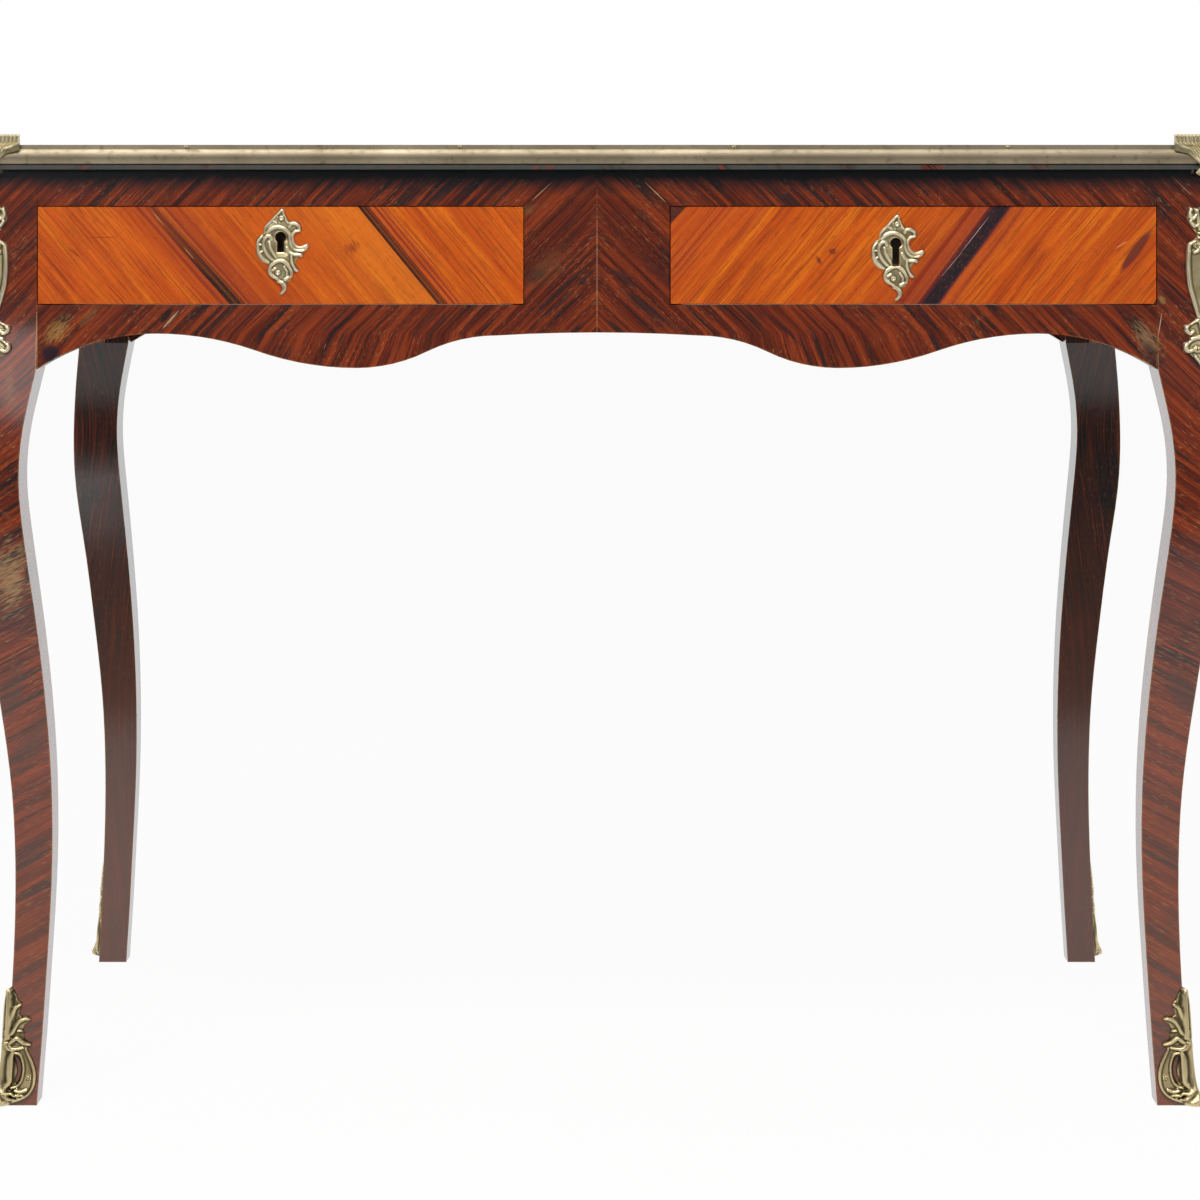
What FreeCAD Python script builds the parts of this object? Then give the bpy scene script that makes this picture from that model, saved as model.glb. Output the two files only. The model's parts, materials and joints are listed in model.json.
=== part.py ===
# Two-drawer writing table with cabriole legs, brass-bound top and gilt-bronze mounts.
# Millimetres, +Z up, front towards -Y, origin on the floor under the middle of the table.
import FreeCAD, Part
import Sketcher
import os

document = FreeCAD.newDocument("writing_table")
vector = FreeCAD.Vector

# Driving sizes
sizes = {
    "top_level": 770,            # height of the writing surface
    "top_width": 1000,           # over the brass edge
    "top_length": 600,           # front to back, over the brass edge
    "board_thickness": 20,
    "leather_thickness": 1.2,
    "leather_sink": 1.5,
    "leather_border": 66,
    "brass_height": 15,
    "brass_depth": 6,
    "brass_band": 3.6,
    "brass_quirk": 0.8,
    "brass_setback": 2.6,
    "brass_belly": 5.5,          # height of the fullest point above the moulding's foot
    "brass_foot": 2.4,
    "lip_reach": 3.2,
    "pin_radius": 1.3,
    "pin_length": 5,
    "pin_pitch": 218,
    "overhang": 11,
    "leg_block": 42,
    "rail_thickness": 24,
    "apron_thickness": 20,
    "top_rail_height": 28.5,
    "opening_height": 79,
    "stile_width": 116,
    "apron_waist": 23,
    "apron_lobe": 50.5,
    "apron_end": 51.5,
    "centre_waist": 22.1,
    "centre_rise": 2.4,
    "end_arch": 95,              # leg to the crest of the outer arch
    "lobe_place": 192,           # centre line to the lowest point of each lobe
    "centre_arch": 80,
    "side_lobe": 42,
    "tenon_thickness": 12,
    "tenon_length": 18,
    "tenon_setback": 6,
    "tenon_shoulder": 7,
    "front_thickness": 20,
    "drawer_gap": 0.8,
    "drawer_room": 58,           # left free behind the drawers
    "side_thickness": 9,
    "side_drop": 2.5,
    "back_drop": 8,
    "bottom_thickness": 6,
    "bottom_lift": 5,
    "groove_depth": 4,
    "front_rebate": 9,           # depth of the front's sockets for the dovetails
    "tail_first": 11,            # drawer bottom to the middle of the lowest tail
    "tail_pitch": 18,
    "tail_wide": 12,
    "tail_narrow": 8,
    "runner_width": 22,
    "runner_thickness": 20,
    "guide_rise": 20,
    "guide_width": 18,
    "bearer_width": 140,
    "kicker_thickness": 18,
    "stop_width": 30,
    "stop_thickness": 8,
    "block_length": 60,
    "block_side": 18,
    "screw_radius": 2,
    "screw_head": 4,
    "screw_bite": 10,
    "screw_inset": 60,
    "right_lock_shift": -14,     # the right lock sits a little towards the centre
    "right_lock_drop": 4.8,
    "keyhole_rise": 14.4,        # above the middle of the drawer front
    "key_radius": 4.4,
    "key_slot_width": 5.4,
    "left_slot_drop": 12,        # the left keyhole is filed shorter than the right one
    "right_slot_drop": 18,
    "lock_width": 56,
    "lock_height": 46,
    "lock_depth": 14,
    "lock_sink": 8,
    "bolt_width": 22,
    "bolt_thickness": 5,
    "bolt_length": 18,
    "bolt_travel": 7,
    "bolt_gap": 0.35,
    "plate_thickness": 2.6,
    "plate_width": 43.5,
    "plate_height": 69,
    "mortise_gap": 1,
    "mortise_spare": 3,          # room left over the bolt when it is thrown
    "mount_thickness": 4.6,
    "mount_length": 214,
    "mount_drop": 28.8,          # top of the frame to the top of the knee mount
    "mount_reach": 22,
    "sabot_height": 94,
    "sabot_reach": 26,
    "toe_reach": 13,
    "clasp_reach": 44.5,
    "clasp_rise": 8.6,
    "clasp_drop": 26,
    "clasp_cover": 3.4,
    "clasp_rim": 5,
    "mount_pin_radius": 1.6,
    "mount_pin_length": 9,
    "upper_pin_drop": 31,        # top of the knee mount to its upper pins
    "lower_pin_drop": 114,
    "knee_pin_inset": 10.6,
    "upper_pin_proud": 5.2,
    "lower_pin_proud": 9,
    "sabot_pin_level": 22,
    "sabot_pin_inset": 33.7,
    "sabot_pin_sink": 7.7,
    "pin_proud": 0.5,
    "lip_gap": 1,
    "clasp_gap": 0.3,
    "stop_gap": 0.4,
    "overrun": 40,               # how far cutting shapes run past what they cut
}
sheet = document.addObject("Spreadsheet::Sheet", "Sizes")
for row, (alias, size) in enumerate(sizes.items(), 1):
    sheet.set(f"A{row}", alias)
    sheet.set(f"B{row}", str(size))
    sheet.setAlias(f"B{row}", alias)

# Places worked out from the driving sizes
places = document.addObject("App::VarSet", "Places")


def place(name, formula):
    places.addProperty("App::PropertyFloat", name)
    places.setExpression(name, formula)


place("half_width", "Sizes.top_width / 2 - Sizes.overhang")
place("half_length", "Sizes.top_length / 2 - Sizes.overhang")
place("frame_top", "Sizes.top_level - Sizes.board_thickness")
place("opening_top", "frame_top - Sizes.top_rail_height")
place("opening_foot", "opening_top - Sizes.opening_height")
place("leg_side", "half_width - Sizes.leg_block")
place("leg_back", "half_length - Sizes.leg_block")
place("leg_spring", "opening_foot - Sizes.apron_end")
place("crest_level", "opening_foot - Sizes.apron_waist")
place("lobe_level", "opening_foot - Sizes.apron_lobe")
place("centre_level", "opening_foot - Sizes.centre_waist")
place("side_lobe_level", "opening_foot - Sizes.side_lobe")
place("end_crest", "leg_side - Sizes.end_arch")
place("outer_turn", "(end_crest + Sizes.lobe_place) / 2")
place("inner_turn", "(Sizes.lobe_place + Sizes.centre_arch) / 2")
place("shoulder_level", "centre_level - Sizes.centre_rise")
place("inner_turn_level", "(shoulder_level + lobe_level) / 2")
place("outer_turn_level", "(crest_level + lobe_level) / 2")
place("side_crest", "leg_back - Sizes.end_arch")
place("side_turn", "side_crest / 2")
place("side_turn_level", "(crest_level + side_lobe_level) / 2")
place("rail_back", "half_length - Sizes.rail_thickness")
place("apron_inside", "half_length - Sizes.apron_thickness")
place("side_inside", "half_width - Sizes.apron_thickness")
place("stile_side", "Sizes.stile_width / 2")
place("opening_middle", "(stile_side + leg_side) / 2")
place("front_inner", "stile_side + Sizes.drawer_gap")
place("front_outer", "leg_side - Sizes.drawer_gap")
place("front_foot", "opening_foot + Sizes.drawer_gap")
place("front_head", "opening_top - Sizes.drawer_gap")
place("front_back", "half_length - Sizes.front_thickness")
place("drawer_end", "apron_inside - Sizes.drawer_room")
place("back_face", "drawer_end - Sizes.side_thickness")
place("inner_inside", "front_inner + Sizes.side_thickness")
place("outer_inside", "front_outer - Sizes.side_thickness")
place("inner_groove", "inner_inside - Sizes.groove_depth")
place("outer_groove", "outer_inside + Sizes.groove_depth")
place("front_groove", "front_back + Sizes.groove_depth")
place("socket_face", "front_back + Sizes.front_rebate")
place("side_head", "front_head - Sizes.side_drop")
place("back_head", "side_head - Sizes.back_drop")
place("bottom_foot", "front_foot + Sizes.bottom_lift")
place("bottom_head", "bottom_foot + Sizes.bottom_thickness")
place("runner_foot", "opening_foot - Sizes.runner_thickness")
place("guide_head", "opening_foot + Sizes.guide_rise")
place("kicker_head", "opening_top + Sizes.kicker_thickness")
place("runner_side", "leg_side - Sizes.runner_width")
place("bearer_side", "Sizes.bearer_width / 2")
place("keyhole_level", "(front_foot + front_head) / 2 + Sizes.keyhole_rise")
place("bolt_middle", "front_back + Sizes.lock_sink - Sizes.lock_depth / 3")
place("board_side", "Sizes.top_width / 2 - Sizes.brass_depth")
place("board_end", "Sizes.top_length / 2 - Sizes.brass_depth")
place("sabot_pin_proud", "-Sizes.sabot_pin_sink")
place("lip_head", "Sizes.top_level - Sizes.brass_height")
document.recompute()


def at(name):
    """Value of a named size or place, turned negative by a leading minus sign."""
    if name.startswith("-"):
        return -at(name[1:])
    if name == "zero":
        return 0.0
    return float(sheet.get(name)) if name in sizes else getattr(places, name)


def bound(name):
    """Formula of a named size or place, for a property that follows it."""
    if name.startswith("-"):
        return f"-{bound(name[1:])}"
    return f"Sizes.{name}" if name in sizes else f"Places.{name}"


# Ways of making a piece

pin_sides = 6


def about(middle, width):
    """Limits of a width centred on a place, as formulas."""
    return f"{middle} - {width} / 2", f"{middle} + {width} / 2"


def both_sides(place_name):
    """Limits of a span that reaches the same place either side of the middle."""
    return f"-Places.{place_name}", f"Places.{place_name}"


def widened(limits, room):
    """Limits moved apart by the same room at each end."""
    return f"{limits[0]} - {room}", f"{limits[1]} + {room}"


def board(label, across, along, upright):
    """Squared board between two named places each way."""
    box = document.addObject("Part::Box", label)
    box.Label = label
    for side, axis, (low, high) in (
            ("Length", "x", across), ("Width", "y", along), ("Height", "z", upright)):
        box.setExpression(side, f"({high}) - ({low})")
        box.setExpression(f"Placement.Base.{axis}", low)
    return box


def rod(label, radius, length, centre, turn=None):
    """Round bar from a centre formula, standing up unless it is turned."""
    bar = document.addObject("Part::Cylinder", label)
    bar.Label = label
    bar.setExpression("Radius", radius)
    bar.setExpression("Height", length)
    if turn:
        bar.Placement = FreeCAD.Placement(vector(), turn)
    for axis, formula in zip("xyz", centre):
        bar.setExpression(f"Placement.Base.{axis}", formula)
    return bar


def pin(label, radius, length, placement=None):
    """Small bar drawn with few sides, for pins and screws."""
    bar = document.addObject("Part::Prism", label)
    bar.Label = label
    bar.Polygon = pin_sides
    bar.setExpression("Circumradius", radius)
    bar.setExpression("Height", length)
    if placement:
        bar.Placement = placement
    return bar


def joined(kind, label, base, tool):
    piece = document.addObject(kind, label)
    piece.Label = label
    piece.Base = base
    piece.Tool = tool
    return piece


def less(label, base, *tools):
    """Piece with one or more shapes cut away."""
    tool = tools[0]
    if len(tools) > 1:
        tool = group(f"{label}_cuts", *tools)
    return joined("Part::Cut", label, base, tool)


def fused(label, *shapes):
    piece = document.addObject("Part::MultiFuse", label)
    piece.Label = label
    piece.Shapes = list(shapes)
    return piece


def group(label, *shapes):
    """Separate solids kept together under one name."""
    piece = document.addObject("Part::Compound", label)
    piece.Label = label
    piece.Links = list(shapes)
    return piece


left_right = vector(1, 0, 0)
fore_aft = vector(0, 1, 0)


def mirrored(label, source, normal):
    piece = document.addObject("Part::Mirroring", label)
    piece.Label = label
    piece.Source = source
    piece.Normal = normal
    return piece


def sketch(body, name, role):
    """Sketch on one of the body's own planes."""
    drawing = body.newObject("Sketcher::SketchObject", name)
    plane = next(part for part in body.Origin.OriginFeatures if part.Role == role)
    drawing.AttachmentSupport = [(plane, "")]
    drawing.MapMode = "FlatFace"
    return drawing


def trace(drawing, corners, crests):
    """Closed outline through corners of named places; crests says which edges are arcs, level at one end.

    A sketch keeps its arcs counter-clockwise, so one that runs the other way is turned end for end.
    """
    spots = [vector(at(across), at(up), 0) for across, up in corners]
    count = len(spots)
    turned = set()
    for index, start in enumerate(spots):
        end = spots[(index + 1) % count]
        crest = crests.get(index)
        if crest is None:
            drawing.addGeometry(Part.LineSegment(start, end))
            continue
        high, low = (start, end) if crest == "start" else (end, start)
        run, fall = low.x - high.x, low.y - high.y
        radius = (run * run + fall * fall) / (2 * fall)
        centre = vector(high.x, high.y + radius, 0)
        middle = (start + end) / 2 - centre
        middle.normalize()
        through = centre + middle * abs(radius)
        if (through - start).cross(end - through).z < 0:
            start, end = end, start
            turned.add(index)
        drawing.addGeometry(Part.Arc(start, through, end))
    for index, (across, up) in enumerate(corners):
        following = (index + 1) % count
        here, there = (2, 1) if index in turned else (1, 2)
        next_here = 2 if following in turned else 1
        drawing.addConstraint(Sketcher.Constraint("Coincident", index, there, following, next_here))
        for kind, name in (("DistanceX", across), ("DistanceY", up)):
            if name == "zero":
                axis = -2 if kind == "DistanceX" else -1
                drawing.addConstraint(Sketcher.Constraint("PointOnObject", index, here, axis))
                continue
            number = drawing.addConstraint(Sketcher.Constraint(kind, -1, 1, index, here, at(name)))
            drawing.setExpression(f"Constraints[{number}]", bound(name))
        if index in crests:
            end = here if crests[index] == "start" else there
            drawing.addConstraint(Sketcher.Constraint("Vertical", index, 3, index, end))


def padded(label, role, corners, crests, depth, start):
    """Body padded from a traced outline by a formula's depth, then moved to its place."""
    body = document.addObject("PartDesign::Body", label)
    body.Label = label
    drawing = sketch(body, f"{label}_outline", role)
    trace(drawing, corners, crests)
    pad = body.newObject("PartDesign::Pad", f"{label}_pad")
    pad.Profile = drawing
    pad.setExpression("Length", depth)
    for axis, formula in start.items():
        body.setExpression(f"Placement.Base.{axis}", formula)
    return body


# Shaped rails: arcs level at their crests and lobes, meeting at the turns between them

def arched(stops):
    """Corners of a lower edge from the right end to the left, and the arcs between them."""
    outwards = [(across, up) for across, up, level in stops]
    corners = outwards[::-1] + [(f"-{across}", up) for across, up in outwards[1:]]
    reach = len(stops) - 1
    crests = {}
    for index, (across, up, level) in enumerate(stops[:-1]):
        crests[reach - 1 - index] = "end" if level == "inner" else "start"
        crests[reach + index] = "start" if level == "inner" else "end"
    return corners, crests


def apron(label, stops, head, thickness, start, role="XZ_Plane"):
    """Shaped rail: the last word of a stop says at which end the arc that runs outwards from it is level."""
    corners, crests = arched(stops)
    end = stops[-1][0]
    return padded(label, role, corners + [(f"-{end}", head), (end, head)], crests, thickness, start)


long_stops = (
    ("zero", "centre_level", "inner"),
    ("centre_arch", "shoulder_level", "inner"),
    ("inner_turn", "inner_turn_level", "outer"),
    ("lobe_place", "lobe_level", "inner"),
    ("outer_turn", "outer_turn_level", "outer"),
    ("end_crest", "crest_level", "inner"),
    ("leg_side", "leg_spring", "none"),
)
side_stops = (
    ("zero", "side_lobe_level", "inner"),
    ("side_turn", "side_turn_level", "outer"),
    ("side_crest", "crest_level", "inner"),
    ("leg_back", "leg_spring", "none"),
)


# Frame: each rail has tenons that the legs are cut to receive

def tenons(label, across, along, foot, head, other_end):
    """Tongue out from the shoulder at one end of a rail, and its twin at the other end."""
    tongue = board(label, across, along, (f"Places.{foot} + Sizes.tenon_shoulder",
                                          f"Places.{head} - Sizes.tenon_shoulder"))
    return [tongue, mirrored(f"{label}_twin", tongue, other_end)]


long_tongue = ("Places.leg_side", "Places.leg_side + Sizes.tenon_length")
short_tongue = ("Places.leg_back", "Places.leg_back + Sizes.tenon_length")
front_cheeks = ("-Places.half_length + Sizes.tenon_setback",
                "-Places.half_length + Sizes.tenon_setback + Sizes.tenon_thickness")
back_cheeks = ("Places.half_length - Sizes.tenon_setback - Sizes.tenon_thickness",
               "Places.half_length - Sizes.tenon_setback")
side_cheeks = ("Places.half_width - Sizes.tenon_setback - Sizes.tenon_thickness",
               "Places.half_width - Sizes.tenon_setback")

rail_board = board("top_rail_board", both_sides("leg_side"),
                   ("-Places.half_length", "-Places.rail_back"), ("Places.opening_top", "Places.frame_top"))
rail_tongues = tenons("top_rail_tongue", long_tongue, front_cheeks, "opening_top", "frame_top", left_right)
rail_blank = fused("top_rail_blank", rail_board, *rail_tongues)

front_apron_blank = apron("front_apron_board", long_stops, "opening_foot", "Sizes.rail_thickness",
                          {"y": "-Places.rail_back"})
front_apron_tongues = tenons("front_apron_tongue", long_tongue, front_cheeks,
                             "leg_spring", "opening_foot", left_right)
front_apron = fused("front_apron", front_apron_blank, *front_apron_tongues)

back_apron_blank = apron("back_apron_board", long_stops, "frame_top", "Sizes.apron_thickness",
                         {"y": "Places.half_length"})
back_apron_tongues = tenons("back_apron_tongue", long_tongue, back_cheeks,
                            "leg_spring", "frame_top", left_right)
back_apron = fused("back_apron", back_apron_blank, *back_apron_tongues)

side_apron_blank = apron("side_apron_board", side_stops, "frame_top", "Sizes.apron_thickness",
                         {"x": "Places.side_inside"}, "YZ_Plane")
side_apron_tongues = tenons("side_apron_tongue", side_cheeks, short_tongue,
                            "leg_spring", "frame_top", fore_aft)
right_apron = fused("right_apron", side_apron_blank, *side_apron_tongues)
left_apron = mirrored("left_apron", right_apron, left_right)

centre_stile = board("centre_stile", both_sides("stile_side"), ("-Places.half_length", "-Places.rail_back"),
                     ("Places.opening_foot", "Places.opening_top"))


# Cabriole legs: a square blank sawn to one outline from the front and to the same outline from the side

# height as a share of the leg below the rail, then the inner and outer edges as shares of the blank
leg_shares = (
    (1.000, -1.000, 0.110),
    (0.922, -0.775, 0.235),
    (0.850, -0.700, 0.286),
    (0.782, -0.775, 0.245),
    (0.663, -0.972, -0.020),
    (0.555, -1.118, -0.240),
    (0.432, -1.210, -0.440),
    (0.330, -1.212, -0.505),
    (0.205, -1.132, -0.480),
    (0.100, -1.044, -0.405),
    (0.000, -0.945, -0.325),
)
swell_share = 1.1   # where the outer edge leaves the square block


def curve(points, first=None, last=None):
    """Smooth line through the points, with its end directions where they are given."""
    line = Part.BSplineCurve()
    if first is None:
        line.interpolate(Points=points)
    else:
        line.interpolate(Points=points, InitialTangent=first, FinalTangent=last)
    return line.toShape()


def leg_edges(cover):
    """Inner and outer edges of the leg's outline from the frame's corner, the outer one moved out."""
    block = at("leg_block")
    spring = at("leg_spring")
    down = vector(0, 0, -1)
    inner = [vector(share * block, 0, height * spring) for height, share, other in leg_shares]
    outer = [vector(share * block + cover, 0, height * spring) for height, other, share in leg_shares]
    outer.insert(0, vector(cover, 0, swell_share * spring))
    slope = (inner[-1] - inner[-2]).normalize()
    outer_slope = (outer[-1] - outer[-2]).normalize()
    inner_start = (inner[1] - inner[0]).normalize()
    return curve(inner, inner_start, slope), curve(outer, down, outer_slope)


def leg_face(cover=0.0, head=None):
    """Outline of a leg in the plane of u outwards and z upwards."""
    inner, outer = leg_edges(cover)
    head = at("frame_top") if head is None else head
    top_in = vector(-at("leg_block"), 0, head)
    top_out = vector(cover, 0, head)
    inner_top, inner_foot = (vertex.Point for vertex in inner.Vertexes)
    outer_top, outer_foot = (vertex.Point for vertex in outer.Vertexes)
    edges = [inner, Part.makeLine(inner_foot, outer_foot), outer, Part.makeLine(outer_top, top_out),
             Part.makeLine(top_out, top_in), Part.makeLine(top_in, inner_top)]
    return Part.Face(Part.Wire(Part.__sortEdges__(edges)))


quarter_turn = FreeCAD.Rotation(vector(0, 0, 1), -90)


def two_views(label, face, corner_across, corner_along, depth):
    """One outline carried through the blank from the front, and again from the side."""
    views = []
    for view, turn, direction in (("front", FreeCAD.Rotation(), fore_aft),
                                  ("side", quarter_turn, left_right * -1)):
        outline = document.addObject("Part::Feature", f"{label}_{view}_outline")
        outline.Shape = face
        outline.Placement = FreeCAD.Placement(vector(corner_across, -corner_along, 0), turn)
        cut = document.addObject("Part::Extrusion", f"{label}_{view}_cut")
        cut.Base = outline
        cut.DirMode = "Custom"
        cut.Dir = direction
        cut.Solid = True
        cut.setExpression("LengthFwd", depth)
        cut.setExpression("LengthRev", "Sizes.overrun")
        views.append(cut)
    return views


def two_way(label, *outline):
    """Solid left where one outline seen from the front meets the same outline seen from the side."""
    return joined("Part::Common", label, *two_views(label, *outline))


blank_depth = "2 * Sizes.leg_block"
frame_corner = (at("half_width"), at("half_length"), blank_depth)
leg_blank = two_way("leg_blank", leg_face(), *frame_corner)


# Gilt knee mounts: a thin casting wrapped round the arris of each leg

# inner edge: share of the mount's reach inwards, share of its length down from the top
knee_shares = (
    (0.00, 0.000), (0.60, 0.004), (0.78, 0.042), (0.50, 0.085), (0.42, 0.110), (0.78, 0.140),
    (0.85, 0.235), (0.70, 0.330), (0.45, 0.415), (0.95, 0.450), (0.70, 0.490), (1.00, 0.525),
    (0.64, 0.560), (0.30, 0.600), (-0.15, 0.760), (-0.62, 1.000),
)


def knee_waste():
    """Everything round the mount's own outline."""
    reach = at("mount_reach")
    head = at("frame_top") - at("mount_drop")
    edge = [vector(-share * reach, 0, head - fall * at("mount_length")) for share, fall in knee_shares]
    top, foot = edge[0], edge[-1]
    far = at("overrun")
    near = -2 * at("leg_block")
    above = at("top_level")
    corners = [foot, vector(far, 0, foot.z), vector(far, 0, 0), vector(near, 0, 0),
               vector(near, 0, above), vector(far, 0, above), vector(far, 0, top.z), top]
    edges = [curve(edge)] + [Part.makeLine(start, end) for start, end in zip(corners, corners[1:])]
    return Part.Face(Part.Wire(Part.__sortEdges__(edges)))


knee_shell = two_way("knee_shell", leg_face(at("mount_thickness")), *frame_corner)
knee_cuts = two_views("knee_waste", knee_waste(), *frame_corner)


# Sabots: leafy castings round the outer arris of each foot, with a scrolled toe and an oval slot

# inner edge: share of the reach in from the leg's outer edge at the foot, share of the height
sabot_shares = (
    (0.03, 1.00), (-0.16, 0.92), (-0.32, 0.85), (-0.57, 0.76), (-0.51, 0.68), (-0.74, 0.63),
    (-0.64, 0.56), (-0.86, 0.43), (-0.97, 0.30), (-0.97, 0.16), (-0.80, 0.06), (-0.45, 0.00),
)
# outer edge: share of the toe's reach, share of the height
toe_shares = ((0.10, 1.00), (0.04, 0.85), (0.22, 0.60), (0.34, 0.30), (0.62, 0.12), (1.00, 0.00))
# the slot's middle, across and up, then half its width and half the straight part of its height
slot_shares = (-0.42, 0.30, 0.12, 0.055)


def sabot_face():
    """Outline of a sabot with its slot, in the plane of u outwards and z upwards."""
    height = at("sabot_height")
    reach = at("sabot_reach")
    foot = leg_shares[-1][2] * at("leg_block")
    inner = [vector(foot + across * reach, 0, up * height) for across, up in sabot_shares]
    outer = [vector(foot + across * at("toe_reach"), 0, up * height) for across, up in toe_shares]
    edges = [curve(inner), Part.makeLine(inner[-1], outer[-1]),
             curve(outer), Part.makeLine(outer[0], inner[0])]
    outline = Part.Face(Part.Wire(Part.__sortEdges__(edges)))
    across, up, half, tall = slot_shares
    middle = vector(foot + across * reach, 0, up * height)
    side = vector(half * reach, 0, 0)
    rise = vector(0, 0, tall * height)
    crown = vector(0, 0, half * reach)
    rim = [Part.makeLine(middle - side - rise, middle - side + rise),
           Part.Arc(middle - side + rise, middle + rise + crown, middle + side + rise).toShape(),
           Part.makeLine(middle + side + rise, middle + side - rise),
           Part.Arc(middle + side - rise, middle - rise - crown, middle - side - rise).toShape()]
    return outline.cut(Part.Face(Part.Wire(rim))).Faces[0]


sabot_blank = two_way("sabot_blank", sabot_face(), *frame_corner)


# Pins of the mounts, two in each knee mount's face and one in each sabot's

def mount_pin(label, level, inset, proud):
    """Pin driven in from the front, and its twin driven in from the side."""
    pair = []
    for view, axis, centre in (
            ("front", left_right, (f"Places.half_width - {inset}", f"-Places.half_length - {proud}", level)),
            ("side", fore_aft, (f"Places.half_width + {proud}", f"-Places.half_length + {inset}", level))):
        turn = FreeCAD.Placement(vector(), FreeCAD.Rotation(axis, -90))
        driven = pin(f"{label}_{view}", "Sizes.mount_pin_radius", "Sizes.mount_pin_length", turn)
        for direction, formula in zip("xyz", centre):
            driven.setExpression(f"Placement.Base.{direction}", formula)
        pair.append(driven)
    return pair


upper_pins = mount_pin("upper_pin", "Places.frame_top - Sizes.mount_drop - Sizes.upper_pin_drop",
                       "Sizes.knee_pin_inset", "Sizes.upper_pin_proud")
lower_pins = mount_pin("lower_pin", "Places.frame_top - Sizes.mount_drop - Sizes.lower_pin_drop",
                       "Sizes.knee_pin_inset", "Sizes.lower_pin_proud")
sabot_pins = mount_pin("sabot_pin", "Sizes.sabot_pin_level",
                       "Sizes.sabot_pin_inset", "Places.sabot_pin_proud")
quarter_pins = group("quarter_pins", *upper_pins, *lower_pins, *sabot_pins)

# One corner is made, and the other three are its mirror images
front_right_leg = less("front_right_leg", leg_blank, rail_blank, front_apron, right_apron, quarter_pins)
front_right_knee_mount = less("front_right_knee_mount", knee_shell, leg_blank, *knee_cuts, quarter_pins)
front_right_sabot = less("front_right_sabot", sabot_blank, leg_blank, quarter_pins)
back_right_leg_blank = mirrored("back_right_leg_blank", leg_blank, fore_aft)
back_right_pins = mirrored("back_right_pins", quarter_pins, fore_aft)
back_right_leg = less("back_right_leg", back_right_leg_blank, back_apron, right_apron, back_right_pins)
front_left_leg = mirrored("front_left_leg", front_right_leg, left_right)
back_left_leg = mirrored("back_left_leg", back_right_leg, left_right)


def other_corners(name, source):
    """The same casting at the other three corners."""
    front_left = mirrored(f"front_left_{name}", source, left_right)
    back_right = mirrored(f"back_right_{name}", source, fore_aft)
    back_left = mirrored(f"back_left_{name}", back_right, left_right)
    return [front_left, back_right, back_left]


knee_mounts = other_corners("knee_mount", front_right_knee_mount)
sabots = other_corners("sabot", front_right_sabot)
right_pins = group("right_pins", quarter_pins, back_right_pins)
left_pins = mirrored("left_pins", right_pins, left_right)
mount_pins = group("mount_pins", right_pins, left_pins)


# Top: board with a rebate for the brass edge, and a sunk panel for the leather

board_across = both_sides("board_side")
board_along = both_sides("board_end")
top_board_body = board("top_board_slab", board_across, board_along, ("Places.frame_top", "Sizes.top_level"))
top_lip = board("top_board_lip", widened(board_across, "Sizes.lip_reach"),
                widened(board_along, "Sizes.lip_reach"), ("Places.frame_top", "Places.lip_head - Sizes.lip_gap"))
top_slab = fused("top_board_with_lip", top_board_body, top_lip)
leather_across = widened(board_across, "(-Sizes.leather_border)")
leather_along = widened(board_along, "(-Sizes.leather_border)")
leather_sunk = board("leather_recess", leather_across, leather_along,
                     ("Sizes.top_level - Sizes.leather_sink", "Sizes.top_level + Sizes.overrun"))
writing_leather = board("writing_leather", leather_across, leather_along,
                        ("Sizes.top_level - Sizes.leather_sink",
                         "Sizes.top_level - Sizes.leather_sink + Sizes.leather_thickness"))


def brass_section():
    """Moulding's section: a flat band over a quirk and a full round, level with the board at the top."""
    face = at("brass_depth")
    head = at("top_level")
    band = face - at("brass_setback")
    band_foot = head - at("brass_band")
    foot = head - at("brass_height")
    start = vector(band + at("brass_quirk"), 0, band_foot)
    fullest = vector(face, 0, foot + at("brass_belly"))
    end = vector(face - at("brass_foot"), 0, foot)
    corners = [end, vector(0, 0, foot), vector(0, 0, head),
               vector(band, 0, head), vector(band, 0, band_foot), start]
    edges = [Part.Arc(start, fullest, end).toShape()]
    edges += [Part.makeLine(first, second) for first, second in zip(corners, corners[1:])]
    return Part.Face(Part.Wire(Part.__sortEdges__(edges)))


def brass_edge(label, half_run, seat, turn):
    """Mitred length of the moulding, run along the board's edge."""
    section = document.addObject("Part::Feature", f"{label}_section")
    section.Shape = brass_section()
    length = document.addObject("Part::Extrusion", f"{label}_length")
    length.Base = section
    length.DirMode = "Custom"
    length.Dir = fore_aft
    length.Solid = True
    length.Symmetric = True
    length.LengthFwd = 2 * (half_run + at("brass_depth"))
    depth = at("brass_depth")
    mitre = document.addObject("Part::Feature", f"{label}_mitre")
    foot = at("lip_head") - at("overrun")
    plan = [vector(0, -half_run, foot), vector(depth, -half_run - depth, foot),
            vector(depth, half_run + depth, foot), vector(0, half_run, foot), vector(0, -half_run, foot)]
    mitre.Shape = Part.Face(Part.makePolygon(plan)).extrude(vector(0, 0, 2 * at("overrun")))
    piece = joined("Part::Common", label, length, mitre)
    piece.Placement = FreeCAD.Placement(turn.multVec(vector(seat, 0, 0)), turn)
    return piece


# side, half its run, its seat from the middle, its turn and the pins along it
edge_plan = (
    ("right", "board_end", "board_side", 0, 3),
    ("back", "board_side", "board_end", 90, 4),
    ("left", "board_end", "board_side", 180, 3),
    ("front", "board_side", "board_end", -90, 4),
)
upright_axis = vector(0, 0, 1)
plain_edges = [brass_edge(f"brass_length_{side}", at(run), at(seat), FreeCAD.Rotation(upright_axis, turn))
               for side, run, seat, turn, count in edge_plan]


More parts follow.
